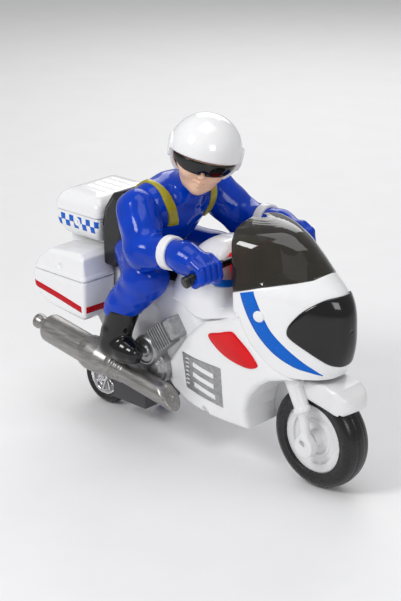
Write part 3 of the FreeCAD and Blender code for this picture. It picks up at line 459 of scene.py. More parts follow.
def rail(points, steps):
    """An open smooth curve through a few points, evenly stepped."""
    points = np.array(points, float)
    knots = np.arange(len(points))
    stops = np.linspace(0, len(points) - 1, steps)
    return np.stack([spline(knots, points[:, i])(stops) for i in range(points.shape[1])], axis=1)


def cover(name, field, outline, centre, lay, direction, material, rise, dome, rim, rings=14, **said):
    """A lens or panel laid on a surface inside a closed outline, with a rolled rim and a domed face."""
    outline, centre = np.array(outline, float), np.array(centre, float)
    shares = np.concatenate([[1.0, 0.995, 0.985, 0.965], np.linspace(0.93, 0.02, rings)])
    grid = [centre + (outline - centre) * share for share in shares]
    starts = np.array([[lay(u, v) for u, v in line] for line in grid])
    landed, normals = onto(field, starts.reshape(-1, 3), direction)
    landed, normals = landed.reshape(starts.shape), normals.reshape(starts.shape)
    roll = np.clip((1 - shares) / rim * 3.0, 0, 1)
    heights = rise * np.sqrt(1 - (1 - roll) ** 2) + dome * (1 - shares ** 2)
    top = landed + normals * heights[:, None, None]
    bottom = landed - normals * COVER_SINK
    points, faces = plate_mesh(bottom, top, wrap=True)
    return new_object(name, points, outward(points, faces), material, **said)


# ---------------------------------------------------------------- materials

GRAIN = 140.0    # waves per metre in moulded plastic


def shader(name):
    """A new node material with its tree and its shader node."""
    material = bpy.data.materials.new(name)
    material.use_nodes = True
    nodes, links = material.node_tree.nodes, material.node_tree.links
    return material, nodes, links, nodes["Principled BSDF"]


def speckle(nodes, links, scale, detail=3.0):
    """Noise over the piece's own place, in waves per metre."""
    place = nodes.new("ShaderNodeTexCoord")
    noise = nodes.new("ShaderNodeTexNoise")
    settle(noise, {"Scale": scale, "Detail": detail})
    links.new(place.outputs["Object"], noise.inputs["Vector"])
    return noise.outputs["Fac"]


def ramp(nodes, links, source, stops):
    """Colour or value steps read along a 0 to 1 signal."""
    node = nodes.new("ShaderNodeValToRGB")
    while len(node.color_ramp.elements) < len(stops):
        node.color_ramp.elements.new(0.5)
    for element, (position, colour) in zip(node.color_ramp.elements, stops):
        element.position = position
        element.color = (*colour, 1.0)
    links.new(source, node.inputs["Fac"])
    return node.outputs["Color"]


def bumped(nodes, links, bsdf, source, strength, distance):
    """Fine relief over a piece, distance millimetres deep."""
    bump = nodes.new("ShaderNodeBump")
    settle(bump, {"Strength": strength, "Distance": distance * MM})
    links.new(source, bump.inputs["Height"])
    links.new(bump.outputs["Normal"], bsdf.inputs["Normal"])


def patchy_gloss(nodes, links, bsdf, source, low, high):
    """Roughness that follows a noise between two values."""
    spread = nodes.new("ShaderNodeMapRange")
    settle(spread, {"To Min": low, "To Max": high})
    links.new(source, spread.inputs["Value"])
    links.new(spread.outputs["Result"], bsdf.inputs["Roughness"])


def plain_name(material):
    """A material's name without the number that Blender adds to a name already taken."""
    return material.name.split(".")[0]


def settle(node, values):
    """Set a node's inputs by name."""
    for name, value in values.items():
        node.inputs[name].default_value = value


def plastic(name, colour, roughness=0.16, tint=0.03, wave=0.02, coat=0.3, subsurface=0.0, shine=0.5):
    """Moulded plastic: a slightly cloudy colour, faint flow waves and patchy gloss."""
    material, nodes, links, bsdf = shader(name)
    cloud = speckle(nodes, links, GRAIN, 4.0)
    darker = tuple(channel * (1 - tint) for channel in colour)
    paint = ramp(nodes, links, cloud, [(0.3, darker), (0.7, colour)])
    links.new(paint, bsdf.inputs["Base Color"])
    gloss = speckle(nodes, links, GRAIN * 3.1, 5.0)
    patchy_gloss(nodes, links, bsdf, gloss, roughness * 0.8, roughness * 1.3)
    waves = speckle(nodes, links, GRAIN * 0.6, 2.0)
    bumped(nodes, links, bsdf, waves, 0.35, wave)
    settle(bsdf, {"Coat Weight": coat, "Coat Roughness": 0.06, "Specular IOR Level": shine})
    if subsurface:
        settle(bsdf, {"Subsurface Weight": subsurface, "Subsurface Radius": (1.0, 0.7, 0.5),
                      "Subsurface Scale": 2 * MM})
    return material


def metal(name, colour, roughness=0.3, brushed=None, wear=0.12):
    """Vacuum-plated or painted metal; brushed is a stretch of the grain along X, Y and Z."""
    material, nodes, links, bsdf = shader(name)
    place = nodes.new("ShaderNodeTexCoord")
    stretch = nodes.new("ShaderNodeMapping")
    stretch.inputs["Scale"].default_value = brushed or (1, 1, 1)
    noise = nodes.new("ShaderNodeTexNoise")
    settle(noise, {"Scale": 420.0, "Detail": 5.0})
    links.new(place.outputs["Object"], stretch.inputs["Vector"])
    links.new(stretch.outputs["Vector"], noise.inputs["Vector"])
    dull = tuple(channel * (1 - wear) for channel in colour)
    paint = ramp(nodes, links, noise.outputs["Fac"], [(0.35, dull), (0.65, colour)])
    links.new(paint, bsdf.inputs["Base Color"])
    patchy_gloss(nodes, links, bsdf, noise.outputs["Fac"], roughness * 0.75, roughness * 1.35)
    bumped(nodes, links, bsdf, noise.outputs["Fac"], 0.3, 0.02)
    bsdf.inputs["Metallic"].default_value = 0.85
    return material


def smoke_glass(name):
    """Tinted clear moulding of the windscreen."""
    material, nodes, links, bsdf = shader(name)
    cloud = speckle(nodes, links, 60.0, 2.0)
    tints = [(0.3, (0.016, 0.013, 0.008)), (0.7, (0.026, 0.022, 0.014))]
    paint = ramp(nodes, links, cloud, tints)
    links.new(paint, bsdf.inputs["Base Color"])
    waves = speckle(nodes, links, 45.0, 2.0)
    bumped(nodes, links, bsdf, waves, 0.25, 0.05)
    settle(bsdf, {"Roughness": 0.04, "IOR": 1.45, "Alpha": 0.86, "Coat Weight": 0.5})
    return material


WHITE = plastic("white_gloss", (0.86, 0.86, 0.87), roughness=0.13, tint=0.02, subsurface=0.08)
WHITE_PLAIN = plastic("white_plain", (0.80, 0.80, 0.81), roughness=0.28, tint=0.03, wave=0.03)
BLUE = plastic("suit_blue", (0.0, 0.046, 0.5), roughness=0.12, tint=0.2, wave=0.05, coat=0.03, shine=0.28)
BLUE_INK = plastic("blue_ink", (0.002, 0.125, 0.6), roughness=0.25, tint=0.06, wave=0.01, coat=0.0, shine=0.18)
RED = plastic("red_gloss", (0.72, 0.001, 0.005), roughness=0.12, tint=0.12, wave=0.02, coat=0.03, shine=0.25)
RED_INK = plastic("red_ink", (0.55, 0.001, 0.01), roughness=0.25, tint=0.06, wave=0.01, coat=0.0, shine=0.15)
BLACK = plastic("black_gloss", (0.004, 0.004, 0.0045), roughness=0.1, tint=0.2, wave=0.04, coat=0.0)
BLACK_SOFT = plastic("black_satin", (0.008, 0.008, 0.0085), roughness=0.32, tint=0.25, wave=0.08, coat=0.0)
RUBBER = plastic("tyre_rubber", (0.006, 0.006, 0.0065), roughness=0.26, tint=0.3, wave=0.05, coat=0.0)
SKIN = plastic("skin", (0.90, 0.58, 0.40), roughness=0.35, tint=0.04, wave=0.03, coat=0.05, subsurface=0.12)
STRAP = plastic("strap_olive", (0.40, 0.34, 0.012), roughness=0.25, tint=0.2, wave=0.05, coat=0.1)
CUFF = plastic("cuff_white", (0.82, 0.82, 0.84), roughness=0.25, tint=0.04, wave=0.04)
SILVER = metal("silver_paint", (0.42, 0.42, 0.43), roughness=0.34, wear=0.25)
BRUSHED = metal("brushed_silver", (0.36, 0.35, 0.34), roughness=0.33, brushed=(0.15, 2.2, 2.2), wear=0.3)
CHROME = metal("chrome", (0.82, 0.82, 0.84), roughness=0.1, wear=0.06)
STEEL = metal("steel", (0.55, 0.55, 0.56), roughness=0.25)
SMOKE = smoke_glass("smoke_clear")
MOTOR = plastic("motor_plastic", (0.06, 0.06, 0.065), roughness=0.4, coat=0.0, wave=0.05)
GEAR = plastic("gear_plastic", (0.55, 0.50, 0.36), roughness=0.4, coat=0.0)
FINISHES = {plain_name(material): material for material in (
    WHITE, WHITE_PLAIN, RED, BLACK, RUBBER, SKIN, STRAP, CUFF, SILVER, CHROME, STEEL, SMOKE, MOTOR, GEAR)}
FINISHES["blue_gloss"] = BLUE
# the slot of each material that isn't named after its own
SLOT_OF = {"suit_blue": "blue_gloss", "blue_ink": "blue_gloss", "red_ink": "red_gloss",
           "black_satin": "black_gloss", "brushed_silver": "silver_paint"}


def finish_nodes():
    """Every CAD node keeps its shape and gets the finish of its material slot."""
    for obj in frame["nodes"].values():
        named = [plain_name(material) for material in obj.data.materials if material]
        slot = next((n for n in named if n in FINISHES), "white_gloss")
        obj.data.materials.clear()
        obj.data.materials.append(FINISHES[slot])


finish_nodes()


# ---------------------------------------------------------------- the nose: cowl, screen and lamps

HEIGHTS = [40, 56, 70, 86, 104, 113, 122, 129, 133.5, 135.8]
nose_rear = spline(HEIGHTS, [46, 46, 46, 46, 46, 43.3, 40.6, 38.5, 37.2, 37])
nose_tip = spline(HEIGHTS, [80, 88, 95.5, 98.2, 96, 87.6, 78.4, 69, 58.4, 44])
nose_half = spline(HEIGHTS, [18, 21, 24.6, 27.4, 28.2, 25.6, 23.1, 19.8, 13.6, 3.6])
nose_fall = spline([56, 70, 86, 104, 122], [3, 2, 1.65, 1.5, 1.45])
nose_bow = spline([56, 70, 86, 104, 122], [1.9, 1.6, 1.45, 1.4, 1.35])
BLUNT = 3


def nose_raw(x, y, z):
    """Zero on the outside of the nose: a plan like half an egg whose length and width change with height."""
    half = np.sqrt(nose_half(z) ** 2 + BLUNT ** 2) - BLUNT
    aside = (np.sqrt(y * y + BLUNT ** 2) - BLUNT) / half
    ahead = np.maximum(x - nose_rear(z), 0) / (nose_tip(z) - nose_rear(z))
    return aside ** nose_bow(z) + ahead ** nose_fall(z) - 1


nose = true_distance(nose_raw)
FOOT = [(30, 99), (47, 104.2), (60, 108.2), (69, 110.3), (76, 111.8), (82, 113.2), (85, 115.2), (87.2, 118),
        (88.4, 121.5), (92, 126), (112, 140)]
above_foot = side_slab(FOOT + [(112, 170), (30, 170)])


def nose_front(y, z):
    """A starting point well ahead of the nose, for things laid on from the front."""
    return (125, y, z)


def nose_side(x, z):
    """A starting point well to the right of the bike, for things laid on from the side."""
    return (x, -WIDE, z)


def behind_nose(x, y, z):
    """Everything behind the open back edge of the nose."""
    return x - nose_rear(z) + 0 * y


def make_cowl():
    lip = side_slab([(30, 40), (52, 50), (60, 58.2), (66, 61.2), (74, 62.8), (82, 62.6), (95, 62.4), (108, 64),
                     (112, 40)])
    crease = side_slab([(30, 40), (76, 62), (65.6, 66.9), (61.4, 70.4), (58.3, 74.2), (54.7, 78.4),
                        (51.8, 84.9), (49.6, 91.5), (46, 94), (30, 94)])
    shell = less(nose, grown(nose, -1.7))
    field = less(shell, behind_nose, above_foot, lip, crease, soft=0.6)
    moulded("nose_shell", field, ((44, -30, 54), (106, 30, 134)), 0.5, WHITE, stands_for="nose_cowl")


def make_windscreen():
    shell = less(nose, grown(nose, -1.2))
    field = less(meet(shell, above_foot, between(90, 135.7), soft=0.5), behind_nose, soft=0.5)
    moulded("screen", field, ((35, -30, 98), (100, 30, 137)), 0.45, SMOKE, stands_for="windscreen")


def make_headlight():
    half = [(0, 69.6), (7.2, 71), (11.9, 74.5), (17.2, 80.7), (19.8, 84.7), (20.4, 87.7), (19.6, 92.5),
            (16.7, 98.8), (12.4, 103.2), (7.3, 105.7), (0, 106.3)]
    outline = rounded(half + [(-y, z) for y, z in reversed(half[1:-1])], 5)
    cover("headlight_lens", nose, outline, (0, 89), nose_front, BACKWARD, BLACK, stands_for="headlight_cover",
          rise=1, dome=0.7, rim=0.12, rings=18)


def make_cowl_marks():
    """The blue sweep down each side of the nose and the screw cap that sits on it."""
    low = [(50.8, 104.6), (52.4, 99.4), (55.8, 91.4), (61, 82.8), (68.3, 75), (77.5, 69.6), (85, 67.2),
           (89.6, 65.4)]
    high = [(58, 106.6), (60.4, 101), (63.6, 94), (67.6, 86.9), (74.6, 79.4), (81.8, 73), (86.9, 68.9),
            (89.8, 65.8)]
    both_sides(ribbon, "cowl_stripe_{}", nose, low, high, nose_side, ALONG_Y, BLUE_INK)
    cap_at = (61.2, 94)
    outline = circle(cap_at, 3)
    both_sides(cover, "cowl_cap_{}", nose, outline, cap_at, nose_side, ALONG_Y, WHITE, rise=0.35, dome=0.6,
               rim=0.3)


make_cowl()
make_windscreen()
make_headlight()
make_cowl_marks()


# ---------------------------------------------------------------- body: fairing, tank and tail

SIDE_STATIONS = [-14, -5, 8, 23, 46, 60, 76]
SIDE_WIDTHS = {
    27.5: [17, 19.5, 22.5, 23.8, 22.4, 19, 14],
    45: [18, 20, 23.2, 24.8, 24.2, 21.6, 16.5],
    62: [18.6, 20.4, 23.8, 25.4, 25.2, 23.4, 19.4],
    80: [18.6, 20.2, 23.6, 25.6, 26.6, 24.6, 20],
    92: [18.2, 19.8, 23.2, 25.4, 27.4, 25, 20]}
side_width = {height: spline(SIDE_STATIONS, widths) for height, widths in SIDE_WIDTHS.items()}
tank_top = spline([-12, -6, 0, 8, 18, 24, 30, 36], [92, 104, 112, 118, 120, 119.2, 112, 100])


def fairing_width(x, z):
    """Half-width of the lower fairing, blended between the heights that are given."""
    levels = sorted(side_width)
    columns = np.stack(np.broadcast_arrays(*[side_width[level](x) for level in levels]), axis=0)
    z = np.clip(z, levels[0], levels[-1])
    result = columns[0] + 0 * z
    for i, (a, b) in enumerate(zip(levels, levels[1:])):
        share = np.clip((z - a) / (b - a), 0, 1)
        result = result + (columns[i + 1] - columns[i]) * (3 * share ** 2 - 2 * share ** 3) * 0.5 \
            + (columns[i + 1] - columns[i]) * share * 0.5
    return result


def fairing_raw(x, y, z):
    return np.abs(y) - fairing_width(x, z)


FAIRING_SIDE = [(48.3, 27.5), (47.6, 32), (47.8, 38), (50.5, 46.5), (56, 53.5), (63, 58.2), (77, 61.5),
                (67.2, 67.6), (62.8, 71.2), (59.6, 75), (56, 79.2), (53.2, 85.5), (50.8, 90.8), (47.5, 91),
                (34, 85.5), (22, 81.3), (16.5, 77.2), (8, 70), (1, 62.7), (-5, 57), (-11.5, 49.5), (-13, 42),
                (-13.5, 36), (-8, 33.2), (4, 30.5), (25, 28.3)]
fairing_side = true_distance(fairing_raw)
fairing = meet(fairing_side, side_slab(FAIRING_SIDE, 1.2), soft=3.2)


def tank_raw(x, y, z):
    """The tank: a dome whose half-width falls from the belt to the crown."""
    top = tank_top(x)
    half = spline([-12, -5, 8, 23, 46], [15, 19.5, 23.6, 26.2, 27.6])(x)
    up = np.maximum(z - 84, 0) / np.maximum(top - 84, 1)
    return (np.abs(y) / half) ** 2.6 + up ** 2.3 - 1


TANK_FOOT = [(-14, 84.5), (3, 84.8), (9, 82.6), (16, 81.6), (22, 82.2), (47.2, 90.2), (47.2, 130), (-14, 130)]
tank = meet(true_distance(tank_raw), side_slab(TANK_FOOT, 0.6), soft=1.6)
cockpit = side_slab([(28.5, 140), (27, 108), (28.5, 101.4), (60, 101.4), (60, 140)], 0.5)

TAIL_SIDE = [(-94, 91), (-94, 79), (-62, 38.5), (-34, 38.5), (-14, 36), (-6, 33), (20, 31), (44, 31), (44, 86),
             (-4, 92), (-12, 91)]
tail_half = spline([-94, -62, -34, -9, 8, 44], [10.5, 12.4, 14.2, 17.2, 18.6, 20])


def tail_raw(x, y, z):
    return np.abs(y) - tail_half(x) - 0.9 * np.sin(np.clip((z - 38) / 52, 0, 1) * math.pi)


tail = meet(true_distance(tail_raw), side_slab(TAIL_SIDE, 1.5), soft=2.6)
body = join(less(join(tail, tank, soft=1), cockpit, soft=0.5), fairing, soft=0.5)


def make_body():
    boss_at = (19.8, 30.6)
    dimple = rod((boss_at[0], -40, boss_at[1]), (boss_at[0], -22.6, boss_at[1]), 2.3)
    field = less(body, dimple, soft=0.5)
    for side, name in ((1, "right"), (-1, "left")):
        half = meet(field, half_space((0, side, 0), -0.02))
        low, high = ((-95, -30, 26), (78, 0.5, 122)) if side > 0 else ((-95, -0.5, 26), (78, 30, 122))
        moulded(f"shell_{name}", half, (low, high), 0.6, WHITE, stands_for=f"body_shell_{name}")


def make_side_marks():
    """Red lens and the blue tank stripe, right and left."""
    lens = rounded([(26, 75.5), (35, 79), (43.5, 81.8), (47.9, 79.5), (53.7, 74.3), (58.2, 68.1), (58.2, 65.6),
                    (53.9, 63.9), (47, 64.4), (38.3, 66.5), (30.6, 70.4)], 5)
    both_sides(cover, "side_lens_{}_cap", fairing_side, lens, (45, 72.5), nose_side, ALONG_Y, RED,
               stands_for="side_lens_{}", rise=0.7, dome=0.9, rim=0.2)

    stripe_low = [(-8.4, 97.8), (2, 101.6), (12, 103.6), (24, 102.8), (35, 100.6), (44.6, 98)]
    stripe_high = [(-8.2, 98.4), (1, 104.8), (11.5, 108.2), (24, 106.4), (35, 103.2), (44.8, 98.5)]
    both_sides(ribbon, "tank_stripe_{}", join(tank, fairing), stripe_low, stripe_high, nose_side, ALONG_Y,
               BLUE_INK, steps=60)


GRILLE = [(3.4, 59.2), (33.9, 58.7), (34.2, 36.6), (6.2, 39.9)]


def make_grille():
    """Silver vent panel let into the fairing: three sloping slots and a column of short bars."""
    panel = meet(less(grown(fairing_side, 0.45), grown(fairing_side, -1.3)), slab(GRILLE, "y", -40, 0, 0.8),
                 soft=0.4)
    deep = grown(fairing_side, -0.9)
    slots = []
    for x, z, fall in ((12.4, 56.4, 2.4), (12.2, 50.8, 2.7), (13.1, 45.4, 3.1)):
        slots.append(less(slab([(x, z), (x + 16, z - fall), (x + 16, z - fall - 2.9), (x, z - 2.9)], "y", -40,
                               0, 0.3), deep))
    for i in range(7):
        slots.append(less(brick((7.8, -25, 56.6 - 2.3 * i), (1.5, 6, 0.5), 0.2), deep))
    both_sides(moulded, "grille_panel_{}", less(panel, *slots, soft=0.3), ((2, -28, 35), (36, -17, 61)), 0.33,
               SILVER, stands_for="air_grille_{}")


make_body()
make_side_marks()
make_grille()


# ---------------------------------------------------------------- luggage

BAG_SIDE = [(-94, 71), (-88, 67.6), (-60, 63.4), (-56.8, 66), (-55.8, 86), (-58.5, 98), (-63, 100.6),
            (-86, 98.8), (-94, 92.5), (-98.6, 84), (-97.8, 76)]
BAG_SEAM = 86
BOX_AT = -77.25
BOX_SEAM = 117


def rounded_plan(half_long, half_wide, corner):
    """A box plan about the top box's middle whose size changes with height."""
    def field(x, y, z):
        u = np.abs(x - BOX_AT) - (half_long(z) - corner)
        v = np.abs(y) - (half_wide(z) - corner)
        return past_faces(u, v) - corner
    return true_distance(field)


def make_saddlebag():
    block = meet(slab(BAG_SIDE, "y", -37.8, -13.8, 3.2),
                 slab([(-37.8, 84), (-37, 67), (-34.5, 62), (-10, 60), (-10, 104), (-31, 104), (-35.3, 97)],
                      "x", -120, -40, 2), soft=1.2)
    hole = rod((-76, -45, 91.5), (-76, -36.2, 91.5), 1.5)
    tray = meet(block, between(50, BAG_SEAM - 0.25), soft=0.5)
    lid = less(meet(block, between(BAG_SEAM + 0.25, 120), soft=0.7), hole, soft=0.4)
    lip = meet(grown(block, 0.35), between(BAG_SEAM + 0.25, BAG_SEAM + 2.4), soft=0.5)
    box = ((-100, -39, 62), (-54, -13, 102))
    both_sides(moulded, "bag_tray_{}", tray, box, 0.55, WHITE, stands_for="saddlebag_{}")
    both_sides(moulded, "bag_lid_{}", join(lid, lip, soft=0.3), box, 0.55, WHITE, stands_for="saddlebag_lid_{}")
    both_sides(ribbon, "bag_stripe_{}", block, [(-96.2, 75.6), (-78, 72.4), (-59, 68.6)],
               [(-97, 79.2), (-78, 76), (-59, 72.2)], nose_side, ALONG_Y, RED_INK)
    both_sides(ribbon, "bag_stripe_front_{}", block, [(-35.6, 68.4), (-28, 68.2), (-18, 68)],
               [(-35.6, 72), (-28, 71.8), (-18, 71.6)], lambda y, z: (-45, y, z), BACKWARD, RED_INK, steps=24)


def make_top_box():
    tray_plan = rounded_plan(spline([103, 106, 110, 117], [13, 15.2, 16.8, 17.5]),
                             spline([103, 106, 110, 117], [17.6, 20, 21.4, 21.9]), 2.6)
    tray = meet(tray_plan, between(103, BOX_SEAM - 0.2), soft=1)
    lid_plan = rounded_plan(spline([117, 121, 125, 127.6, 128.6], [17.9, 17.8, 16, 13, 10.5]),
                            spline([117, 121, 125, 127.6, 128.6], [22.2, 21.9, 20.2, 17.6, 14.5]), 3.4)
    ribs = [brick((-77, -9 + 6 * i, 127.6), (9.5, 0.8, 1.2), 0.5) for i in range(4)]
    boss = lathe([(0, 0), (2.2, 0), (2.2, 1), (1.2, 1), (1.2, 0.4), (0, 0.4)], (-77, -21.2, 112.5), (0, -1, 0))
    lid = join(meet(lid_plan, between(BOX_SEAM + 0.2, 128.4), soft=1.4), *ribs, soft=0.5)
    rim = meet(grown(lid_plan, 0.3), between(BOX_SEAM + 0.2, BOX_SEAM + 2.2), soft=0.5)
    low, high = (-96, -23, 102), (-58, 23, 130)
    moulded("box_tray", join(tray, boss, soft=0.3), (low, high), 0.55, WHITE, stands_for="top_box")
    moulded("box_lid", join(lid, rim, soft=0.3), (low, high), 0.55, WHITE, stands_for="top_box_lid")
    for row, z in enumerate((108.4, 111.9)):
        for i in range(row % 2, 10, 2):
            x = -93.4 + 3.35 * i
            both_sides(ribbon, f"checker_{{}}_{row}_{i}", tray, [(x, z), (x + 1.7, z), (x + 3.35, z)],
                       [(x, z + 3.5), (x + 1.7, z + 3.5), (x + 3.35, z + 3.5)], nose_side, ALONG_Y, BLUE_INK,
                       steps=5, rows=4)
    rack = join(slab([(-13, 90.5), (13, 90.5), (13, 100.6), (15.4, 102.8), (-15.4, 102.8), (-13, 100.6)], "x",
                     -92.5, -63.5, 0.8), brick((-78, 0, 102.2), (13.5, 13, 0.8), 0.4), soft=0.5)
    moulded("rack_deck", rack, ((-94, -17, 82), (-61, 17, 104)), 0.6, WHITE, stands_for="luggage_rack")


make_saddlebag()
make_top_box()


# ---------------------------------------------------------------- engine, exhaust, controls

def lean_of(degrees):
    """A turn about the bike's Y axis that tips +Z forward."""
    c, s = math.cos(math.radians(degrees)), math.sin(math.radians(degrees))
    return [[c, 0, s], [0, 1, 0], [-s, 0, c]]


def make_engine():
    cover_disc = lathe([(0, 16), (8.7, 16), (8.7, 25.6), (7.6, 27), (6.5, 27), (6.1, 26), (3.3, 26), (2.9, 27),
                        (0, 27.3)], (-22, 0, 53.6), (0, -1, 0))
    sump = lathe([(0, 16), (8.1, 16), (8.1, 22.6), (6.6, 23), (6.4, 24.2), (4.8, 24.4), (4.6, 25.2),
                  (0, 25.2)], (-17, 0, 44), (0, -1, 0))
    fins = [brick((0, 0, 4.5 + 2 * i), (6.6, 7.2, 0.55), 0.3) for i in range(7)]
    barrel = join(brick((0, 0.5, 12), (4.9, 6.4, 12), 1), brick((0, -0.8, 21.6), (5.9, 6.8, 3.2), 1.2), *fins)
    whole = join(grown(cover_disc, -0.1), sump, turned(barrel, (-19.5, -19, 57.5), lean_of(52)), soft=0.35)
    both_sides(moulded, "engine_casting_{}", whole, ((-34, -28, 34), (8, -12, 87)), 0.4, SILVER,
               stands_for="engine_{}")


PIPE_AT = (-106.83, -29, 50.4)
PIPE_RUN = (math.sin(math.radians(98.8)), 0, math.cos(math.radians(98.8)))


def make_exhaust():
    profile = [(0, 0.2), (3.5, 0.2), (4.3, 1.1), (4.3, 3), (3.5, 5.6), (3.5, 8), (6.8, 10.4), (8, 12.2),
               (8.15, 14), (8.15, 42.6), (9.1, 44.2), (9.7, 48), (9.2, 55), (7.5, 62.6), (7.8, 64.2),
               (7.8, 66.2), (6.8, 67.2), (7.15, 69.2), (6.5, 70.4), (6.85, 72.6), (6.1, 74.2), (6.1, 116),
               (0, 116)]
    wedge = side_slab([(-8, 47), (6.4, 26), (30, 26), (30, 60), (-8, 60)])
    mouth = rod(np.array(PIPE_AT) - 4 * np.array(PIPE_RUN), np.array(PIPE_AT) + 5 * np.array(PIPE_RUN), 2.6)
    field = less(less(lathe(profile, PIPE_AT, PIPE_RUN), wedge, soft=2.6), mouth, soft=0.4)
    both_sides(moulded, "silencer_{}", field, ((-107.2, -39, 26), (8, -19, 60)), 0.45, BRUSHED,
               stands_for="exhaust_{}")


def make_controls():
    seat = slab([(-61, 90), (-61, 93.2), (-40, 92.3), (-22, 93.3), (-13.5, 102.6), (-6.2, 104.9), (-9.4, 92.2),
                 (-12, 90)], "y", -11.4, 11.4, 1)
    moulded("seat_pad", seat, ((-62, -12, 89), (-5, 12, 106)), 0.55, BLACK_SOFT, stands_for="saddle")
    dials = [lathe([(0, -3), (5.2, -3), (5.2, 0.6), (4.4, 0.6), (4.2, -0.4), (0, -0.4)], (33.5, y, 118),
                   (-0.5, 0, 0.86)) for y in (-6.2, 6.2)]
    dash = join(turned(brick((0, 0, 0), (6.6, 13.4, 8.2), 2.2), (35.5, 0, 109.6), lean_of(-10)), *dials,
                soft=0.8)
    moulded("dash_housing", meet(dash, between(101, 119.5)), ((25, -15, 100), (46, 15, 120)), 0.45, RED,
            stands_for="dash_panel")
    bars = []
    for side, name in SIDES:
        start, end = np.array([34, side * 23, 114.5]), np.array([30.4, side * 46.4, 109.6])
        run = (end - start) / np.linalg.norm(end - start)
        bars += [rod((34, 0, 114.5), start, 2), rod(start, end - run * 2, 1.9)]
        ridges = [(2.5, 2.4), (3.2, 2.6), (3.2, 3.8)]
        for at in 4.2 + 1.1 * np.arange(16):
            ridges += [(2.7, at), (2.7, at + 0.4), (3.05, at + 0.6), (3.05, at + 0.9)]
        profile = [(0, 2.4), *ridges, (3.1, 22.4), (3.1, 23.4), (2.6, 24), (0, 24.1)]
        low, high = sorted((side * 24, side * 47.4))
        moulded(f"grip_rubber_{name}", lathe(profile, start, run), ((26, low, 105), (38, high, 118)), 0.3,
                RUBBER, stands_for=f"grip_{name}", slot="black_gloss")
    moulded("bar_tube", join(*bars, soft=0.8), ((28, -47, 106), (37, 47, 118)), 0.5, BLACK,
            stands_for="handlebar")


make_engine()
make_exhaust()
make_controls()


# ---------------------------------------------------------------- front fork, mudguard and wheels

def fork_leg():
    """Both legs at once: drawn for one, flat distance from its own middle plane."""
    upper = rod((71.5, 0, 60), (78.4, 0, 45.5), 4.2, 4)
    collar = lathe([(0, -1.3), (4.8, -1.3), (4.8, 1.3), (0, 1.3)], (78.6, 0, 45), (0.43, 0, -0.9))
    lower = rod((78.4, 0, 45.5), (80.6, 0, 30), 2.9, 2.6)
    plate = lathe([(0, -2.6), (5.6, -2.6), (6, -2), (6, 2), (5.6, 2.6), (0, 2.6)], (80.4, 0, 25.4), ALONG_Y)
    whole = join(join(join(upper, lower, soft=1), collar, soft=0.4), plate, soft=2.5)
    return lambda x, y, z: whole(x, (np.abs(y) - 12.5) * 1.05, z)


def make_fork():
    crown = brick((70.5, 0, 59), (6.6, 14.6, 1.8), 1.4)
    stem = rod((69.5, 0, 58), (64, 0, 74), 3.2)
    axle = rod((80, -30, 27.5), (80, 30, 27.5), 1.7)
    legs = meet(fork_leg(), brick((75, 0, 45), (20, 16.4, 40), 0.5), soft=0.3)
    field = less(join(legs, crown, stem, soft=1.2), axle,
                 lathe([(0, -9.4), (28.6, -9.4), (28.6, 9.4), (0, 9.4)], FRONT_WHEEL, ALONG_Y), soft=0.3)
    moulded("fork_casting", field, ((58, -17, 18), (89, 17, 77)), 0.5, WHITE_PLAIN, stands_for="fork",
            body="fork")


def make_mudguard():
    side = [(71, 49.5), (71.5, 57), (80, 60.2), (91, 60.2), (98, 58.6), (103.5, 55.2), (106.6, 51.4),
            (106.9, 49), (99.5, 45.2), (92, 47), (80, 49.5)]
    plan = rounded([(71, -10.9), (88, -10.9), (97.5, -10.9), (103, -8.4), (106, -4.4), (106.9, 0), (106, 4.4),
                    (103, 8.4), (97.5, 10.9), (88, 10.9), (71, 10.9), (71, 0)], 3)
    block = meet(slab(side, "y", -10.9, 10.9, 2.2), slab(plan, "z", 30, 70, 0.4), soft=2.2)
    tyre_room = lathe([(0, -9.4), (28.3, -9.4), (28.3, 9.4), (0, 9.4)], FRONT_WHEEL, ALONG_Y)
    moulded("guard_shell", less(block, tyre_room, soft=0.5), ((70, -12, 42), (108, 12, 61)), 0.45, WHITE_PLAIN,
            stands_for="front_mudguard", body="fork")


def tyre_profile(rim, outer, half, grooves):
    """Half-round tyre section with shallow grooves round the tread."""
    crown = [(rim, -half + 1.6), (rim + 1.2, -half + 0.5), (rim + (outer - rim) * 0.45, -half),
             (rim + (outer - rim) * 0.78, -half * 0.80), (outer - 0.5, -half * 0.42)]
    outline = crown + [(outer, 0)] + [(r, -h) for r, h in reversed(crown)]
    smooth = rounded(outline, 4)
    return [(max(r, rim), h) for r, h in smooth], [(outer - 0.05, h) for h in grooves]


def make_tyre(name, at, body, rim, outer, half, grooves, node):
    section, cuts = tyre_profile(rim, outer, half, grooves)
    tyre = lathe(section, at, ALONG_Y)
    rings = [lathe([(r - 0.5, h - 0.35), (r + 0.6, h - 0.35), (r + 0.6, h + 0.35), (r - 0.5, h + 0.35)], at,
                   ALONG_Y) for r, h in cuts]
    field = less(tyre, *rings, soft=0.25)
    reach = outer + 0.4
    moulded(name, field, ((at[0] - reach, -half - 0.4, at[2] - reach),
                          (at[0] + reach, half + 0.4, at[2] + reach)), 0.45, RUBBER, stands_for=node,
            body=body)


def make_front_hub():
    side = [(1.7, 9.1), (4.4, 9.1), (4.7, 8.7), (4.8, 4.6), (8.4, 4.4), (8.9, 5.6), (10.2, 5.6), (10.7, 4.8),
            (13.4, 4.8), (14, 6.1), (18.6, 6.1)]
    outline = side + [(r, -h) for r, h in reversed(side)]
    moulded("front_disc", lathe(outline, FRONT_WHEEL, ALONG_Y), ((60.5, -9.6, 8), (99.5, 9.6, 47)), 0.45,
            WHITE_PLAIN, stands_for="front_hub", body="front_wheel")


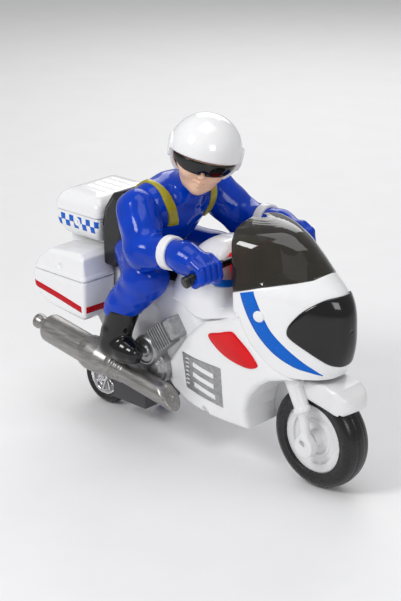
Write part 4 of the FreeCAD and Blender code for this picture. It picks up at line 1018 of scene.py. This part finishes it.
def make_rear_hub():
    at = REAR_WHEEL
    rim = lathe([(9.1, -4.4), (10.6, -5.3), (10.6, 5.3), (9.1, 4.4)], at, ALONG_Y)
    boss = lathe([(1.5, -5.7), (2.8, -5.7), (3.3, -5), (3.3, 5), (2.8, 5.7), (1.5, 5.7)], at, ALONG_Y)
    spokes = [turned(brick((6.2, 0, 0), (3.6, 3.6, 0.6), 0.4), at, lean_of(36 * i)) for i in range(10)]
    moulded("rear_wheel_chrome", join(rim, boss, *spokes, soft=0.5), ((-91.4, -6.2, 4.8), (-68.6, 6.2, 27.4)),
            0.35, CHROME, stands_for="rear_hub", body="rear_wheel")


make_fork()
make_mudguard()
make_tyre("tyre_front", FRONT_WHEEL, "front_wheel", 18.4, 27.45, 8.25, (-2.6, 2.6), "front_tyre")
make_tyre("tyre_rear", REAR_WHEEL, "rear_wheel", 10.5, 16.05, 6.05, (-1.8, 1.8), "rear_tyre")
make_front_hub()
make_rear_hub()


# ---------------------------------------------------------------- rider

def creased(field, depth, scale, seed):
    """Soft cloth-like folds moulded into a surface."""
    phases = np.random.default_rng(seed).uniform(0, 6.28, 6)

    def folded(x, y, z):
        wave = (np.sin((0.8 * x + 1.1 * z) * scale + 0.9 * np.sin(y * scale * 0.7 + phases[0]) + phases[1])
                * np.sin((0.5 * y - 0.7 * z) * scale * 0.8 + phases[2])
                + 0.6 * np.sin((1.2 * z - 0.4 * x + 0.5 * y) * scale * 0.6 + phases[3]))
        return field(x, y, z) - depth * wave
    return folded


def squeezed(field, share):
    """A field made wider along Y."""
    return lambda x, y, z: field(x, y * share, z)


torso = creased(join(squeezed(limb([(-43, 0, 110, 14.5), (-35, 0, 120, 17), (-24, 0, 130, 16)], 6), 0.78),
                     limb([(-22, -16.5, 133, 12), (-22, 16.5, 133, 12)]),
                     rod((-12, 0, 139), (-6, 0, 146), 9.6, 9), soft=5), 0.22, 0.42, 3)


def above_boots(x, y, z):
    """Everything above the trousers' sloping hems."""
    return 71.5 + 0.25 * (x + 34) - z + 0 * y


def behind_cuffs(x, y, z):
    return x - 8.6 + 0.08 * (z - 117) + 0 * y


def make_suit():
    """Jacket body and trousers."""
    moulded("jacket", torso, ((-62, -31, 92), (8, 31, 150)), 0.6, BLUE, stands_for="rider_jacket")
    legs = [limb([(-40, s * 12, 101, 12.4), (-18, s * 27, 95.5, 11.4), (-34, s * 30.5, 76.5, 9.6)],
                 3) for s in (-1, 1)]
    hips = squeezed(limb([(-46, 0, 103, 13.5), (-40, 0, 106, 14.5)]), 0.82)
    trousers = meet(creased(join(*legs, hips, soft=4), 0.3, 0.38, 5), above_boots, soft=0.8)
    moulded("trousers", trousers, ((-62, -42.5, 68), (-5, 42.5, 120)), 0.6, BLUE, stands_for="rider_trousers")


def make_arm(side, name):
    """Sleeve, white cuff and gloved hand."""
    joints = [(-22, side * 27, 131.5, 11.6), (-8, side * 36.2, 115.5, 10.2), (6, side * 35.4, 117.6, 8.3)]
    sleeve = meet(creased(limb(joints, 3), 0.24, 0.5, 7 + side), behind_cuffs, soft=0.8)
    low, high = sorted((side * 14, side * 48))
    moulded(f"sleeve_{name}", sleeve, ((-36, low, 103), (12, high, 145)), 0.6, BLUE, stands_for=f"arm_{name}")

    cuff = lathe([(6, -2.6), (8.6, -2.8), (9, -2.2), (8.8, 2), (8.2, 2.6), (6, 2.4)],
                 (10.4, side * 35.1, 118.2), (0.99, -0.03 * side, 0.07))
    low, high = sorted((side * 25, side * 45))
    moulded(f"cuff_ring_{name}", cuff, ((5, low, 107), (15, high, 129)), 0.4, CUFF, stands_for=f"cuff_{name}")

    palm = limb([(12, side * 35, 118.2, 7.4), (20, side * 34.8, 117.6, 7.9), (28.5, side * 34.4, 115.6, 7.6)],
                3)
    fingers = []
    for i in range(4):
        y = side * (28.6 + 3.9 * i)
        fingers += [rod((31, y, 118.8), (36.2, y, 116.2), 2.6), rod((36.2, y, 116.2), (37, y, 110.8), 2.5),
                    rod((37, y, 110.8), (32.6, y, 108), 2.4)]
    thumb = limb([(26, side * 28.6, 113, 3), (31, side * 28, 108.8, 2.5), (36, side * 28.4, 108.2, 2.2)], 1)
    hand = join(palm, join(*fingers, soft=0.5), thumb, soft=1.6)
    low, high = sorted((side * 24.5, side * 44))
    moulded(f"hand_{name}", hand, ((6, low, 104.5), (42.3, high, 127)), 0.45, BLUE, stands_for=f"glove_{name}")


def make_boot(side, name):
    """Boot with a raised band round its top and a thin sole."""
    shaft = limb([(-32, side * 31.5, 75, 8.8), (-35.5, side * 33.5, 63, 8), (-36.5, side * 34.5, 57, 7.6)], 2)
    foot = limb([(-37, side * 35, 56.4, 7.4), (-27, side * 35, 55.6, 6.6), (-21.5, side * 35, 55, 5.4)], 2)
    top_cut = side_slab([(-52, 78), (-20, 84.5), (-20, 100), (-52, 100)])
    sole = meet(side_slab([(-46, 48.4), (-15, 48.4), (-15, 51), (-46, 51)], 0.4), grown(foot, 0.5), soft=0.4)
    top_band = meet(grown(shaft, 0.5), side_slab([(-52, 75.4), (-20, 81.4), (-20, 84.3), (-52, 77.8)], 0.4),
                    soft=0.4)
    boot = join(less(join(shaft, foot, soft=2.5), top_cut, soft=0.6), sole, top_band, soft=0.4)
    low, high = sorted((side * 21.5, side * 43.4))
    moulded(f"boot_black_{name}", meet(boot, between(48.4, 90)), ((-48, low, 47.6), (-14, high, 87)), 0.5,
            BLACK, stands_for=f"boot_{name}")


def make_pack():
    outline = [(-58.8, 92.2), (-59, 112), (-56, 124), (-49, 132.4), (-40.5, 135.2), (-36, 130), (-42, 118),
               (-44, 106), (-47, 96), (-50, 91.8)]
    block = slab(outline, "y", -20.6, 20.6, 2.6)
    flap = slab([(-60, 113.5), (-57.2, 124.4), (-50.2, 133.6), (-42, 136.2), (-43, 131), (-51, 127.5),
                 (-56, 119), (-57.2, 113.5)], "y", -19.4, 19.4, 1.2)
    moulded("rucksack", less(join(block, flap, soft=0.6), grown(torso, -2)), ((-61, -22, 90), (-33, 22, 137)),
            0.5, BLACK_SOFT, stands_for="backpack")
    bands = join(slab([(-13, 116), (-7.6, 116), (-17.6, 150), (-23, 150)], "x", -44, 6, 0.3),
                 slab([(13, 116), (7.6, 116), (17.6, 150), (23, 150)], "x", -44, 6, 0.3))
    straps = less(meet(grown(torso, 0.9), bands, soft=0.3), grown(torso, -0.8))
    straps = less(straps, slab([(-44, 150), (-44, 100), (-40, 100), (-40, 150)], "y", -30, 30, 0.1),
                  slab([(-44, 100), (6, 100), (6, 122), (-44, 122)], "y", -30, 30, 0.1))
    moulded("strap_pair", straps, ((-42, -18.5, 113), (4, 18.5, 149)), 0.4, STRAP, stands_for="pack_straps")


def head_turn():
    """Face +X, leaned forward and then turned towards the bike's right."""
    axis = Vector((math.sin(NECK_LEAN), 0, math.cos(NECK_LEAN)))
    return np.array(Matrix.Rotation(HEAD_TURN, 3, axis) @ Matrix.Rotation(NECK_LEAN, 3, "Y"))


FACE_GAP = [(2, -30), (5.5, -0.8), (30, 7), (30, -30)]


def make_head():
    turn = head_turn()
    head = join(ball((0.4, 0, -0.6), 15.4), limb([(2.2, 0, -3, 14.3), (4.6, 0, -12, 10.4)], 2),
                egg((9.5, -6, -7.5), (5.5, 5, 5)), egg((9.5, 6, -7.5), (5.5, 5, 5)),
                ball((11.8, 0, -16.6), 3.6), soft=3)
    nose_bridge = join(rod((14.8, 0, -2.5), (16.4, 0, -6.6), 1.3, 1.9), ball((15.6, -1.5, -7.2), 1.2),
                       ball((15.6, 1.5, -7.2), 1.2), soft=1)
    lip_lines = [((14.2, -2.6, -11.2), (15.4, 0, -10.9), 0.9), ((15.4, 0, -10.9), (14.2, 2.6, -11.2), 0.9),
                 ((14, -2, -12.6), (14.9, 0, -12.9), 1), ((14.9, 0, -12.9), (14, 2, -12.6), 1)]
    lips = join(*(rod(*line) for line in lip_lines), soft=0.4)
    slot = join(rod((14.4, -3, -11.9), (16.6, 0, -11.9), 0.28), rod((16.6, 0, -11.9), (14.4, 3, -11.9), 0.28))
    neck = rod((-1.5, 0, -20), (-1, 0, -12), 8.4)
    face = less(join(head, nose_bridge, lips, neck, soft=1.1), slot, soft=0.3)
    moulded("face", turned(face, HEAD_AT, turn), ((-18, -18, 133), (21, 18, 180)), 0.4, SKIN,
            stands_for="rider_head", body="head")

    gap = side_slab(FACE_GAP)
    neck_hole = half_space((0, 0, 1), -13.4)
    discs = [lathe([(0, 14), (6, 14), (6, 19.4), (5.4, 20), (4.2, 20), (4, 19.4), (0, 19.4)], (0.5, 0, -1),
                   (0, side, 0)) for side in (-1, 1)]
    discs = [meet(disc, ball((0, 0, 0), 19.9)) for disc in discs]
    shell = less(join(ball((0, 0, 0), 18.9), *discs, soft=0.5), ball((0, 0, 0), 16.9), gap, neck_hole, soft=0.7)
    moulded("helmet_shell", turned(shell, HEAD_AT, turn), ((-20.5, -20.5, 142), (21, 20.5, 183)), 0.45, WHITE,
            stands_for="helmet", body="head")

    lens = slab([(7, -1), (22, 3.4), (22, -4.8), (15, -5.4), (7, -2.8)], "y", -40, 40, 0.3)
    bridge = slab([(-1.8, -7), (1.8, -7), (0.9, -3.2), (-0.9, -3.2)], "x", 10, 30, 0.2)
    band = less(ball((1.4, 0, -1.5), 17.4), ball((1.4, 0, -1.5), 16))
    glasses = less(meet(band, lens, soft=0.5), bridge, soft=0.3)
    moulded("glasses", turned(glasses, HEAD_AT, turn), ((-12, -21, 148), (21, 12, 170)), 0.3, BLACK,
            stands_for="sunglasses", body="head")


make_suit()
for side, name in SIDES:
    make_arm(side, name)
    make_boot(side, name)
make_pack()
make_head()


# ---------------------------------------------------------------- camera, light and floor

def make_floor():
    size = 3.0
    mesh = bpy.data.meshes.new("floor")
    mesh.from_pydata([(-size, -size, 0), (size, -size, 0), (size, size, 0), (-size, size, 0)], [],
                     [(0, 1, 2, 3)])
    floor = linked("floor", mesh)
    material, nodes, links, bsdf = shader("floor_paper")
    paper = speckle(nodes, links, 30.0, 4.0)
    tone = ramp(nodes, links, paper, [(0.3, (0.86, 0.86, 0.87)), (0.7, (0.88, 0.88, 0.89))])
    links.new(tone, bsdf.inputs["Base Color"])
    bsdf.inputs["Roughness"].default_value = 0.7
    mesh.materials.append(material)


def area_light(name, at, aim, size, power):
    """A square soft light."""
    data = bpy.data.lights.new(name, "AREA")
    data.size = size
    data.energy = power
    light = linked(name, data)
    light.location = Vector(at)
    light.rotation_euler = (Vector(aim) - Vector(at)).to_track_quat("-Z", "Y").to_euler()


def make_light():
    world = bpy.data.worlds.new("studio")
    world.use_nodes = True
    settle(world.node_tree.nodes["Background"], {"Color": (1.0, 1.0, 1.0, 1.0), "Strength": 0.42})
    bpy.context.scene.world = world
    middle = (0.0, 0.0, 0.08)
    area_light("key", (-0.15, -0.75, 0.75), middle, 0.3, 4.2)
    area_light("front", (0.85, -0.35, 0.45), middle, 0.3, 1.5)
    area_light("back", (-0.5, 0.7, 0.6), middle, 0.6, 2.6)
    area_light("top", (0.1, 0.0, 0.9), middle, 0.5, 1.6)


def make_camera():
    """A view from the front right and a little above, with a slight roll."""
    azimuth, elevation, roll = math.radians(45.7), math.radians(20.5), math.radians(-1.41)
    target, distance = Vector((-5.5, 0.0, 78.8)) * MM, 1.0
    back = Vector((math.sin(azimuth) * math.cos(elevation), -math.cos(azimuth) * math.cos(elevation),
                   math.sin(elevation)))
    right = Vector((math.cos(azimuth), math.sin(azimuth), 0.0))
    up = back.cross(right)
    rolled_right = right * math.cos(roll) + up * math.sin(roll)
    rolled_up = up * math.cos(roll) - right * math.sin(roll)
    data = bpy.data.cameras.new("camera")
    data.sensor_width = 36.0
    data.sensor_fit = "AUTO"
    data.lens = 113.4
    data.clip_start, data.clip_end = 0.05, 20.0
    camera = linked("camera", data)
    turn = Matrix((rolled_right, rolled_up, back)).transposed().to_4x4()
    turn.translation = target + back * distance
    camera.matrix_world = turn
    bpy.context.scene.camera = camera
    bpy.context.scene.view_settings.view_transform = "Standard"


make_floor()
make_light()
make_camera()
